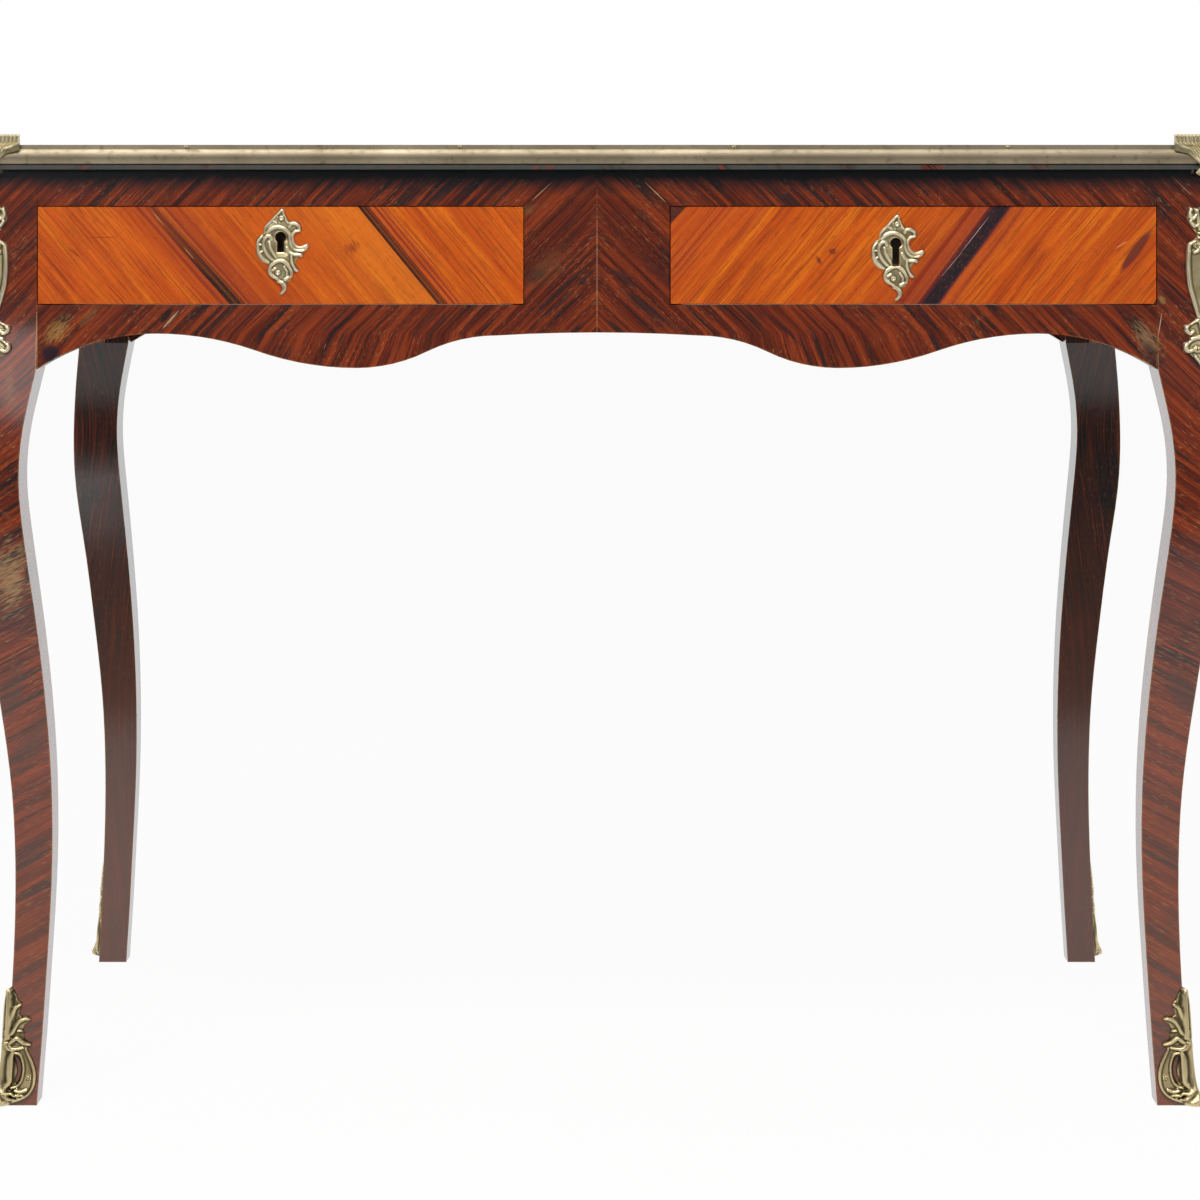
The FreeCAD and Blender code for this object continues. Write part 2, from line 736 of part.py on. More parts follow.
def edge_pin_row(side, seat, turn, count):
    """Pins through the moulding's band, evenly spaced about the middle of the edge."""
    pins = []
    for index in range(count):
        spin = FreeCAD.Rotation(upright_axis, turn)
        offset = (index - (count - 1) / 2) * at("pin_pitch")
        outer = at(seat) + at("brass_depth") - at("brass_setback") + at("pin_proud")
        level = at("top_level") - at("brass_band") / 2
        centre = spin.multVec(vector(outer, offset, 0)) + vector(0, 0, level)
        driven = FreeCAD.Placement(centre, spin * FreeCAD.Rotation(fore_aft, -90))
        pins.append(pin(f"edge_pin_{side}_{index + 1}", "Sizes.pin_radius", "Sizes.pin_length", driven))
    return pins


pins = []
for side, run, seat, turn, count in edge_plan:
    pins += edge_pin_row(side, seat, turn, count)
edge_pins = group("edge_pins", *pins)
brass_edges = [less(f"{side}_brass_edge", plain, edge_pins)
               for plain, (side, *rest) in zip(plain_edges, edge_plan)]


# Corner clasps: ribbed castings gripping the corners of the top, moulding and all

# inner edge: share of the reach in from the corner, share of the rise above or the drop below the top
clasp_shares = ((-1.00, 1.00), (-1.00, 0.10), (-0.75, -0.09), (-0.59, -0.40), (-0.50, -0.61),
                (-0.62, -0.86), (-0.45, -1.00))


def clasp_face():
    """Outline of a clasp, from the corner of the top inwards."""
    reach = at("clasp_reach")
    level = at("top_level")
    cover = at("clasp_cover")
    edge = []
    for across, up in clasp_shares:
        height = level + up * (at("clasp_rise") if up > 0 else at("clasp_drop"))
        edge.append(vector(across * reach, 0, height))
    foot, head = edge[-1], edge[0]
    corners = [foot, vector(cover, 0, foot.z), vector(cover, 0, head.z), head, edge[1]]
    edges = [curve(edge[1:])] + [Part.makeLine(start, end) for start, end in zip(corners, corners[1:])]
    return Part.Face(Part.Wire(Part.__sortEdges__(edges)))


top_corner = (at("top_width") / 2, at("top_length") / 2, "2 * Sizes.clasp_reach")
clasp_blank = two_way("clasp_blank", clasp_face(), *top_corner)
clasp_hollow = rod("clasp_hollow", "Sizes.clasp_reach - Sizes.clasp_rim", "2 * Sizes.overrun",
                   ("Sizes.top_width / 2 - Sizes.clasp_reach", "-Sizes.top_length / 2 + Sizes.clasp_reach",
                    "Sizes.top_level"))
clasp_frame_room = board("clasp_frame_room", ("0", "Places.half_width + Sizes.clasp_gap"),
                         ("-Places.half_length - Sizes.clasp_gap", "0"),
                         ("Places.frame_top - Sizes.overrun", "Places.frame_top"))
front_right_clasp = less("front_right_clasp", clasp_blank, clasp_hollow,
                         top_slab, clasp_frame_room, *brass_edges)
clasps = other_corners("clasp", front_right_clasp)


# Drawers: dovetailed boxes behind veneered fronts, each with a lock whose bolt rises into the top rail

front_depth = ("-Places.half_length", "-Places.front_back")
side_depth = ("-Places.front_back", "Places.back_face")
bottom_depth = ("-Places.front_groove", "Places.drawer_end")
tail_count = 3


def tail(label, across, level, root, tip):
    """Dovetail, narrow at its root and wide at its tip."""
    wedge = document.addObject("Part::Wedge", label)
    narrow = about(level, "Sizes.tail_narrow")
    wide = about(level, "Sizes.tail_wide")
    first, second = (wide, narrow) if tip.startswith("-") else (narrow, wide)
    low, high = (tip, root) if tip.startswith("-") else (root, tip)
    for name, formula in (("Xmin", across[0]), ("Xmax", across[1]), ("Zmin", first[0]), ("Zmax", first[1]),
                          ("X2min", across[0]), ("X2max", across[1]), ("Z2min", second[0]),
                          ("Z2max", second[1]), ("Ymin", low), ("Ymax", high)):
        wedge.setExpression(name, formula)
    return wedge


def drawer_side(label, across, bottom):
    """Side with tails at both ends and a groove for the bottom."""
    body = board(f"{label}_board", across, side_depth, ("Places.front_foot", "Places.side_head"))
    tails = []
    for index in range(tail_count):
        level = f"(Places.bottom_head + Sizes.tail_first + {index} * Sizes.tail_pitch)"
        tails.append(tail(f"{label}_front_tail_{index + 1}", across, level,
                          "-Places.front_back", "-Places.socket_face"))
        tails.append(tail(f"{label}_back_tail_{index + 1}", across, level,
                          "Places.back_face", "Places.drawer_end"))
    return less(label, fused(f"{label}_tailed", body, *tails), bottom)


def keyhole(label, across, level, drop, depth):
    """Round hole over a straight slot, cut from the front."""
    rise = (f"{level} - {drop}", level)
    slot = board(f"{label}_slot", about(across, "Sizes.key_slot_width"),
                 ("-Places.half_length - Sizes.overrun", depth), rise)
    hole = rod(f"{label}_round", "Sizes.key_radius", f"{depth} + Places.half_length + Sizes.overrun",
               (across, "-Places.half_length - Sizes.overrun", level), FreeCAD.Rotation(left_right, -90))
    return fused(label, slot, hole)


# escutcheon's outline about the keyhole: shares of its half width and of its height, clockwise from the top
escutcheon_shares = (
    (0.08, 0.345), (0.26, 0.22), (0.65, 0.17), (0.74, 0.08), (0.50, 0.02), (0.58, -0.07),
    (1.04, -0.09), (0.88, -0.16), (0.76, -0.235), (0.54, -0.28), (0.72, -0.37), (0.42, -0.45),
    (0.24, -0.53), (0.08, -0.655), (-0.04, -0.56), (-0.44, -0.44), (-0.46, -0.33), (-0.80, -0.24),
    (-0.86, -0.05), (-0.62, 0.06), (-0.42, 0.19),
)


def escutcheon_outline():
    half = at("plate_width") / 2
    height = at("plate_height")
    points = [vector(across * half, 0, up * height) for across, up in escutcheon_shares]
    line = Part.BSplineCurve()
    line.interpolate(Points=points, PeriodicFlag=True)
    return Part.Face(Part.Wire(line.toShape()))


def drawer(hand, sign, across, level):
    """All the pieces of one drawer; sign turns the right drawer's places to its own side."""
    def span(inner, outer):
        if sign > 0:
            return f"Places.{inner}", f"Places.{outer}"
        return f"-Places.{outer}", f"-Places.{inner}"

    bottom = board(f"{hand}_drawer_bottom", span("inner_groove", "outer_groove"), bottom_depth,
                   ("Places.bottom_foot", "Places.bottom_head"))
    inner_side = drawer_side(f"{hand}_drawer_inner_side", span("front_inner", "inner_inside"), bottom)
    outer_side = drawer_side(f"{hand}_drawer_outer_side", span("outer_inside", "front_outer"), bottom)
    back_board = board(f"{hand}_drawer_back_board", span("front_inner", "front_outer"),
                       ("Places.back_face", "Places.drawer_end"), ("Places.bottom_head", "Places.back_head"))
    back = less(f"{hand}_drawer_back", back_board, inner_side, outer_side)

    case_face = "-Places.front_back - Sizes.lock_sink"
    case = board(f"{hand}_lock_box", about(across, "Sizes.lock_width"),
                 (case_face, f"{case_face} + Sizes.lock_depth"),
                 ("Places.front_head - Sizes.lock_height", "Places.front_head"))
    bolt_sides = about(across, "Sizes.bolt_width")
    bolt_depth = about("-Places.bolt_middle", "Sizes.bolt_thickness")
    bolt = board(f"{hand}_lock_bolt", bolt_sides, bolt_depth,
                 ("Places.front_head - Sizes.bolt_length", "Places.front_head"))
    gap = "Sizes.bolt_gap"
    channel = board(f"{hand}_bolt_channel", widened(bolt_sides, gap), widened(bolt_depth, gap),
                    (f"Places.front_head - Sizes.bolt_length - {gap}", "Places.front_head + Sizes.overrun"))
    hole = keyhole(f"{hand}_keyhole", across, level, f"Sizes.{hand}_slot_drop", "-Places.bolt_middle")
    lock = less(f"{hand}_lock_case", case, channel, hole)

    blank = board(f"{hand}_drawer_front_board", span("front_inner", "front_outer"), front_depth,
                  ("Places.front_foot", "Places.front_head"))
    front = less(f"{hand}_drawer_front", blank, inner_side, outer_side, bottom, case, hole)

    plate = document.addObject("Part::Feature", f"{hand}_escutcheon_outline")
    plate.Shape = escutcheon_outline()
    cast = document.addObject("Part::Extrusion", f"{hand}_escutcheon_blank")
    cast.Base = plate
    cast.DirMode = "Custom"
    cast.Dir = fore_aft
    cast.Solid = True
    cast.setExpression("LengthFwd", "Sizes.plate_thickness")
    cast.setExpression("Placement.Base.x", across)
    cast.setExpression("Placement.Base.y", "-Places.half_length - Sizes.plate_thickness")
    cast.setExpression("Placement.Base.z", level)
    escutcheon = less(f"{hand}_escutcheon", cast, hole)

    room = "Sizes.mortise_gap"
    strike = board(f"{hand}_bolt_mortise", widened(bolt_sides, room), widened(bolt_depth, room),
                   ("Places.opening_top - Sizes.overrun",
                    "Places.opening_top + Sizes.bolt_travel + Sizes.mortise_spare"))
    return [front, inner_side, outer_side, back, bottom, escutcheon, lock, bolt], strike


right_drawer, right_strike = drawer("right", 1, "(Places.opening_middle + Sizes.right_lock_shift)",
                                    "(Places.keyhole_level - Sizes.right_lock_drop)")
left_drawer, left_strike = drawer("left", -1, "(-Places.opening_middle)", "Places.keyhole_level")
front_top_rail = less("front_top_rail", rail_blank, right_strike, left_strike)


# Inside: runners, guides and kickers for the drawers, stops behind them, blocks and screws under the top

inside_depth = ("-Places.rail_back", "Places.apron_inside")
between_legs = both_sides("leg_back")
runner_across = ("Places.runner_side", "Places.leg_side")
bearer_across = both_sides("bearer_side")
runner_rise = ("Places.runner_foot", "Places.opening_foot")
guide_rise = ("Places.opening_foot", "Places.guide_head")
kicker_rise = ("Places.opening_top", "Places.kicker_head")
right_runner = board("right_runner", runner_across, inside_depth, runner_rise)
left_runner = mirrored("left_runner", right_runner, left_right)
right_guide = board("right_guide", ("Places.leg_side", "Places.side_inside"), between_legs,
                    ("Places.runner_foot", "Places.guide_head"))
left_guide = mirrored("left_guide", right_guide, left_right)
right_kicker_bar = board("right_kicker_bar", runner_across, inside_depth, kicker_rise)
centre_bearer = board("centre_bearer", bearer_across, inside_depth, runner_rise)
right_centre_guide = board("right_centre_guide",
                           ("Places.stile_side - Sizes.guide_width", "Places.stile_side"),
                           inside_depth, guide_rise)
centre_guides = group("centre_guides", right_centre_guide,
                      mirrored("left_centre_guide", right_centre_guide, left_right))
centre_kicker_bar = board("centre_kicker_bar", bearer_across, inside_depth, kicker_rise)

stop_depth = ("Places.drawer_end + Sizes.stop_gap", "Places.drawer_end + Sizes.stop_gap + Sizes.stop_width")
stop_rise = ("Places.opening_foot", "Places.opening_foot + Sizes.stop_thickness")
outer_stop = board("outer_stop", runner_across, stop_depth, stop_rise)
inner_stop = board("inner_stop", ("Places.stile_side", "Places.bearer_side"), stop_depth, stop_rise)
drawer_stops = group("drawer_stops", outer_stop, inner_stop,
                     mirrored("left_outer_stop", outer_stop, left_right),
                     mirrored("left_inner_stop", inner_stop, left_right))

block_shares = (-0.5, 0.5)   # places of the blocks along an apron, from its middle
block_rise = ("Places.frame_top - Sizes.block_side", "Places.frame_top")
blocks = []
for index, share in enumerate(block_shares):
    side_block = board(f"side_block_{index + 1}",
                       ("Places.side_inside - Sizes.block_side", "Places.side_inside"),
                       about(f"{share} * Places.leg_back", "Sizes.block_length"), block_rise)
    blocks += [side_block, mirrored(f"left_side_block_{index + 1}", side_block, left_right)]
for index, share in enumerate(block_shares):
    blocks.append(board(f"back_block_{index + 1}",
                        about(f"{share} * Places.leg_side", "Sizes.block_length"),
                        ("Places.apron_inside - Sizes.block_side", "Places.apron_inside"), block_rise))
glue_blocks = group("glue_blocks", *blocks)


def top_screw(label, across, along):
    """Screw with a sunk flat head, up through a kicker into the top."""
    length = "Places.frame_top + Sizes.screw_bite - Places.opening_top"
    shank = pin(f"{label}_shank", "Sizes.screw_radius", length)
    head = pin(f"{label}_head", "Sizes.screw_head", "Sizes.screw_head / 2")
    for piece in (shank, head):
        for axis, formula in zip("xyz", (across, along, "Places.opening_top")):
            piece.setExpression(f"Placement.Base.{axis}", formula)
    return fused(label, shank, head)


screws = []
for name, across in (("centre", "0"), ("right", "(Places.runner_side + Sizes.runner_width / 2)"),
                     ("left", "(-Places.runner_side - Sizes.runner_width / 2)")):
    screws.append(top_screw(f"{name}_front_screw", across, "-Places.rail_back + Sizes.screw_inset"))
    screws.append(top_screw(f"{name}_back_screw", across, "Places.apron_inside - Sizes.screw_inset"))
top_screws = group("top_screws", *screws)
centre_kicker = less("centre_kicker", centre_kicker_bar, top_screws)
right_kicker = less("right_kicker", right_kicker_bar, top_screws)
left_kicker = mirrored("left_kicker", right_kicker, left_right)
top_board = less("top_board", top_slab, leather_sunk, top_screws, edge_pins)

nodes = [top_board, writing_leather, *brass_edges, edge_pins, front_right_clasp, *clasps,
         front_right_leg, front_left_leg, back_right_leg, back_left_leg,
         front_right_knee_mount, *knee_mounts, front_right_sabot, *sabots, mount_pins,
         front_top_rail, front_apron, centre_stile, back_apron, left_apron, right_apron,
         centre_bearer, centre_guides, centre_kicker, left_runner, right_runner, left_guide, right_guide,
         left_kicker, right_kicker, glue_blocks, top_screws, drawer_stops, *right_drawer, *left_drawer]

document.recompute()
for item in document.Objects:
    if "Invalid" in item.State or "Error" in item.State:
        raise RuntimeError(f"{item.Label} failed: {item.State}")
for node in nodes:
    if node.Shape.isNull() or not node.Shape.isValid() or not node.Shape.Solids:
        raise RuntimeError(f"{node.Label} has no valid solid")

os.makedirs("parts", exist_ok=True)
whole = FreeCAD.BoundBox()
for node in nodes:
    node.Shape.exportStep(f"parts/{node.Label}.step")
    whole.add(node.Shape.BoundBox)
    print(node.Label, len(node.Shape.Solids), round(node.Shape.Volume))
print(len(nodes), "pieces, box", whole)
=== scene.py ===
import json
import math

import bpy
import numpy as np
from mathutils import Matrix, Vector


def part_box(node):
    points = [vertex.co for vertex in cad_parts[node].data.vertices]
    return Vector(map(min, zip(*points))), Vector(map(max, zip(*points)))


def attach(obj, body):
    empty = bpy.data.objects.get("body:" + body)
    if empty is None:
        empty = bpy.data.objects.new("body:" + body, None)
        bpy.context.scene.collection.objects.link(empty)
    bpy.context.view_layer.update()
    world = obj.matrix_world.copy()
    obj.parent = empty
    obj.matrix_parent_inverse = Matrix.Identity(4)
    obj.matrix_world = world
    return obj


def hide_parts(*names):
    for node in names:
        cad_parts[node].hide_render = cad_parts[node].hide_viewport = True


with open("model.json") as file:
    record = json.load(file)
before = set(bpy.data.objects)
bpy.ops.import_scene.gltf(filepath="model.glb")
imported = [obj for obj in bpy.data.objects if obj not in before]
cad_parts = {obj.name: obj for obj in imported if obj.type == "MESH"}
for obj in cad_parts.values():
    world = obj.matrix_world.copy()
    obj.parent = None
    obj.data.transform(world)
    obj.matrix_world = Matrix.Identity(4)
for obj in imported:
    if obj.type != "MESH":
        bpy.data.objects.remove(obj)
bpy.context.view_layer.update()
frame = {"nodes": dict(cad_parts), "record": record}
nodes = frame["nodes"]
mm = 0.001
print("frame loaded")


# helpers

def linear(hexColour):
    # sRGB hex to the linear colour that the sockets take
    channels = [int(hexColour[place:place + 2], 16) / 255 for place in (1, 3, 5)]
    return [c / 12.92 if c <= 0.04045 else ((c + 0.055) / 1.055) ** 2.4 for c in channels] + [1]


def addNode(tree, kind, inputs=(), **settings):
    # inputs: a list in the sockets' order or a dictionary by name or number, each a value, a socket,
    # or a node that stands for its first live output; a hex colour is turned linear
    node = tree.nodes.new("ShaderNode" + kind)
    for name, value in settings.items():
        setattr(node, name, value)
    for place, value in inputs.items() if isinstance(inputs, dict) else enumerate(inputs):
        if isinstance(value, bpy.types.Node):
            value = next(socket for socket in value.outputs if socket.enabled)
        if isinstance(value, bpy.types.NodeSocket):
            tree.links.new(value, node.inputs[place])
        else:
            node.inputs[place].default_value = linear(value) if isinstance(value, str) else value
    return node


def setStops(node, stops):
    # colour ramp from rows of place, hex colour and, if it isn't whole, how solid it is
    ramp = node.color_ramp
    while len(ramp.elements) > 1:
        ramp.elements.remove(ramp.elements[-1])
    for index, (place, colour, *solid) in enumerate(stops):
        stop = ramp.elements[0] if index == 0 else ramp.elements.new(place)
        stop.position = place
        stop.color = linear(colour)[:3] + (solid or [1])


def newMaterial(name):
    material = bpy.data.materials.new(name)
    material.use_nodes = True
    material.node_tree.nodes.clear()
    return material, material.node_tree


def layOver(tree, colour, mask, low, high, share, hexColour):
    # a second colour over the first: none where the mask is low, its whole share where it is high
    amount = addNode(tree, "MapRange", [mask, low, high, 0, share])
    return addNode(tree, "Mix", {0: amount, 6: colour, 7: hexColour}, data_type="RGBA")


def edgeWear(tree, spot, look):
    # a wide bevel's normal leaves the surface's own at arrises only, and a fine noise breaks the rubbed line
    soft = addNode(tree, "Bevel", [look["wearReach"]], samples=6)
    sharp = addNode(tree, "NewGeometry").outputs["Normal"]
    match = addNode(tree, "VectorMath", [soft, sharp], operation="DOT_PRODUCT").outputs["Value"]
    arris = addNode(tree, "MapRange", [match, *look["wearTurn"]])
    noise = addNode(tree, "TexNoise", {"Vector": spot, "Scale": 1 / look["wearPatch"], "Detail": 4.0})
    broken = addNode(tree, "MapRange", [noise, *look["wearBreak"]])
    return addNode(tree, "Math", [arris, broken], operation="MULTIPLY")


def dress(material, *names):
    for name in names:
        places = nodes[name].material_slots
        if not places:
            nodes[name].data.materials.append(material)
        for place in places:
            place.material = material


# veneers

def sheetGrain(tree, look):
    # across and along the grain of a sheet: u runs sideways, and tilt is the grain's angle from the level;
    # a wrapped sheet is mirrored at the table's middle, goes round its corners and narrows down the legs
    spot = addNode(tree, "TexCoord").outputs["Object"]
    u, inwards, z = addNode(tree, "SeparateXYZ", [spot]).outputs
    if look["wrapped"]:
        u = addNode(tree, "Math", [u], operation="ABSOLUTE")
        inwards = addNode(tree, "Math", [inwards], operation="ABSOLUTE")
        u = addNode(tree, "Math", [u, inwards], operation="ADD")
        u = addNode(tree, "Math", [u, look["legMiddle"]], operation="SUBTRACT")
        narrowing = addNode(tree, "MapRange", [z, *look["taper"], look["footShare"], 1.0])
        u = addNode(tree, "Math", [u, narrowing], operation="MULTIPLY")
    tilt = math.radians(look["tilt"])
    across = addNode(tree, "Math", [z, math.cos(tilt)], operation="MULTIPLY")
    across = addNode(tree, "Math", [u, math.sin(tilt), across], operation="MULTIPLY_ADD")
    along = addNode(tree, "Math", [z, -math.sin(tilt)], operation="MULTIPLY")
    along = addNode(tree, "Math", [u, math.cos(tilt), along], operation="MULTIPLY_ADD")
    cloud = addNode(tree, "TexNoise", {"Vector": spot, "Scale": 1 / look["driftSize"], "Detail": 2.0})
    drift = addNode(tree, "Math", [cloud, 0.5], operation="SUBTRACT")
    across = addNode(tree, "Math", [drift, look["drift"], across], operation="MULTIPLY_ADD")
    return spot, z, across, along, drift


def grainNoise(tree, across, along, width, length, detail=2.0, seed=0.0):
    # noise drawn out along the grain, width by length in metres
    flat = addNode(tree, "CombineXYZ", [across, along, seed])
    sized = addNode(tree, "VectorMath", [flat, (1 / width, 1 / length, 1)], operation="MULTIPLY")
    return addNode(tree, "TexNoise", {"Vector": sized, "Scale": 1.0, "Detail": detail})


def layStreaks(tree, colour, spot, z, drift, look):
    # dark streaks of one sheet: each is a slanting line between its x at the drawer's head and at its foot,
    # with a colour ramp that runs across it
    low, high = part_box(look["front"])
    x = addNode(tree, "SeparateXYZ", [spot]).outputs[0]
    for head, foot, waver, span, solidHead, solidFoot, stops in look["streaks"]:
        lean = (head - foot) * mm / (high.z - low.z)
        away = addNode(tree, "Math", [z, -lean, low.z * lean - foot * mm], operation="MULTIPLY_ADD")
        away = addNode(tree, "Math", [x, away], operation="ADD")
        away = addNode(tree, "Math", [drift, waver * look["drift"], away], operation="MULTIPLY_ADD")
        ramp = addNode(tree, "ValToRGB", [addNode(tree, "MapRange", [away, span[0] * mm, span[1] * mm])])
        setStops(ramp, stops)
        fade = addNode(tree, "MapRange", [z, low.z, high.z, solidFoot, solidHead])
        amount = addNode(tree, "Math", [ramp.outputs["Alpha"], fade], operation="MULTIPLY")
        colour = addNode(tree, "Mix", {0: amount, 6: colour, 7: ramp.outputs["Color"]}, data_type="RGBA")
    return colour


def layMarks(tree, colour, spot, grit, look):
    # knots, scratches, chips and seams: each is an ellipse about x and z on the front, turned by its tilt,
    # and the grit, whose mean is a half, makes its edge ragged
    for x, z, long, wide, tilt, hexColour, share, ragged in look["marks"]:
        place = addNode(tree, "Mapping", {
            "Vector": spot, "Location": (x * mm, look["markPlane"], z * mm),
            "Rotation": (0, math.radians(-tilt), 0),
            "Scale": (long * mm, look["markDepth"], wide * mm)}, vector_type="TEXTURE")
        size = addNode(tree, "VectorMath", [place], operation="LENGTH").outputs["Value"]
        size = addNode(tree, "Math", [grit, ragged, size], operation="MULTIPLY_ADD")
        outerEdge = 1.0 + ragged * 0.5
        wholeInside = 0.75 + ragged * 0.32
        colour = layOver(tree, colour, size, outerEdge, wholeInside, share, hexColour)
    return colour


def layPaintedShadeAndHaze(tree, colour, spot, z, patches, look):
    # painted shadow under the top's overhang, painted shade and dirt in a dark grey band on the lip above it,
    # and a painted pale haze of reflection that grows down the legs
    # painted shadow: blue-black under the top's overhang, ragged at its lower edge
    cloud = addNode(tree, "TexNoise", {"Vector": spot, "Scale": 1 / look["shadowPatch"], "Detail": 3.0})
    paintedShadow = addNode(tree, "Math", [cloud, look["shadowRagged"], z], operation="MULTIPLY_ADD")
    under = addNode(tree, "Math", [z, look["shadowTop"]], operation="LESS_THAN")
    paintedShadow = addNode(tree, "Math", [paintedShadow, under], operation="MULTIPLY")
    colour = layOver(tree, colour, paintedShadow, *look["shadowFall"], look["paintedShadow"], look["shadowColour"])
    # painted shade and dirt: a dark grey band in patches along the lip
    lip = addNode(tree, "Math", [z, look["lipLevel"], look["lipHalf"]], operation="COMPARE")
    shadingAndDirt = addNode(tree, "MapRange", [patches, *look["lipPatches"]])
    lip = addNode(tree, "Math", [shadingAndDirt, lip], operation="MULTIPLY")
    colour = layOver(tree, colour, lip, 0, 1, look["lip"], look["lipColour"])
    # painted reflection: a pale pinkish haze that grows towards the floor
    floorHaze = addNode(tree, "MapRange", [z, *look["hazeFall"]])
    return layOver(tree, colour, floorHaze, 0, 1, look["floorHaze"], look["hazeColour"])


def polishedVeneer(name, look):
    # knife-cut sheets under old french polish: satin wood seen through a thin glossy coat
    material, tree = newMaterial(name)
    spot, z, across, along, drift = sheetGrain(tree, look)
    patches = addNode(tree, "TexNoise", {"Vector": spot, "Scale": 1 / look["patchSize"], "Detail": 3.0})
    colour = addNode(tree, "ValToRGB", [grainNoise(tree, across, along, *look["figureSize"], detail=4.0)])
    setStops(colour, look["figure"])
    for width, length, low, high, share, hexColour in look["lines"]:
        lines = grainNoise(tree, across, along, width * mm, length * mm, detail=1.5, seed=width)
        colour = layOver(tree, colour, lines, low, high, share, hexColour)

    smoke = grainNoise(tree, across, along, *look["smokeSize"], seed=5.0)
    smoke = addNode(tree, "MapRange", [smoke, *look["smokeRange"]])
    gathered = addNode(tree, "MapRange", [patches, *look["smokePatches"]])
    smoke = addNode(tree, "Math", [smoke, gathered], operation="MULTIPLY")
    colour = layOver(tree, colour, smoke, 0, 1, look["smoke"], look["smokeColour"])
    if "streaks" in look:
        colour = layStreaks(tree, colour, spot, z, drift, look)

    pores = grainNoise(tree, across, along, *look["poreSize"], detail=1.0, seed=3.0)
    colour = layOver(tree, colour, pores, *look["poreRange"], look["pores"], look["poreColour"])
    dust = grainNoise(tree, across, along, *look["dustSize"], detail=1.0, seed=9.0)
    dust = addNode(tree, "MapRange", [dust, *look["dustRange"]])
    worn = addNode(tree, "MapRange", [z, *look["footDustFall"], 0, look["footDust"]])
    cloud = addNode(tree, "TexNoise", {"Vector": spot, "Scale": 1 / look["dustPatchSize"], "Detail": 2.0})
    worn = addNode(tree, "Math", [cloud, worn], operation="ADD")
    worn = addNode(tree, "MapRange", [worn, *look["dustPatches"]])
    dust = addNode(tree, "Math", [dust, worn], operation="MULTIPLY")
    colour = layOver(tree, colour, dust, 0, 1, look["dust"], look["dustColour"])

    grit = grainNoise(tree, across, along, *look["gritSize"], detail=3.0, seed=7.0)
    colour = layMarks(tree, colour, spot, grit, look)
    if look["wrapped"]:
        colour = layPaintedShadeAndHaze(tree, colour, spot, z, patches, look)
    low = addNode(tree, "MapRange", [z, *look["wearFall"]])
    wear = addNode(tree, "Math", [edgeWear(tree, spot, look), low], operation="MULTIPLY")
    colour = layOver(tree, colour, wear, 0, 1, look["wear"], look["wearColour"])
    if "bare" in look:
        # behind the thin sheet the board is oak, its grain sideways
        x, y, _ = addNode(tree, "SeparateXYZ", [spot]).outputs
        rings = addNode(tree, "Math", [y, z], operation="ADD")
        bare = addNode(tree, "ValToRGB", [grainNoise(tree, rings, x, *look["bareSize"], detail=5.0)])
        setStops(bare, look["bare"])
        behind = addNode(tree, "Math", [y, look["sheetBack"]], operation="GREATER_THAN")
        colour = addNode(tree, "Mix", {0: behind, 6: colour, 7: bare}, data_type="RGBA")

    gloss = addNode(tree, "MapRange", [grit, 0.3, 0.7, *look["roughness"]])
    height = addNode(tree, "Math", [pores, look["poreDepth"], grit], operation="MULTIPLY_ADD")
    bump = addNode(tree, "Bump", {"Strength": look["bump"], "Distance": look["bumpDepth"], "Height": height})
    shader = addNode(tree, "BsdfPrincipled", {
        "Base Color": colour, "Roughness": gloss, "Normal": bump, "Specular IOR Level": look["specular"],
        "Coat Weight": look["coat"], "Coat Roughness": look["coatRoughness"]})
    addNode(tree, "OutputMaterial", [shader])
    return material
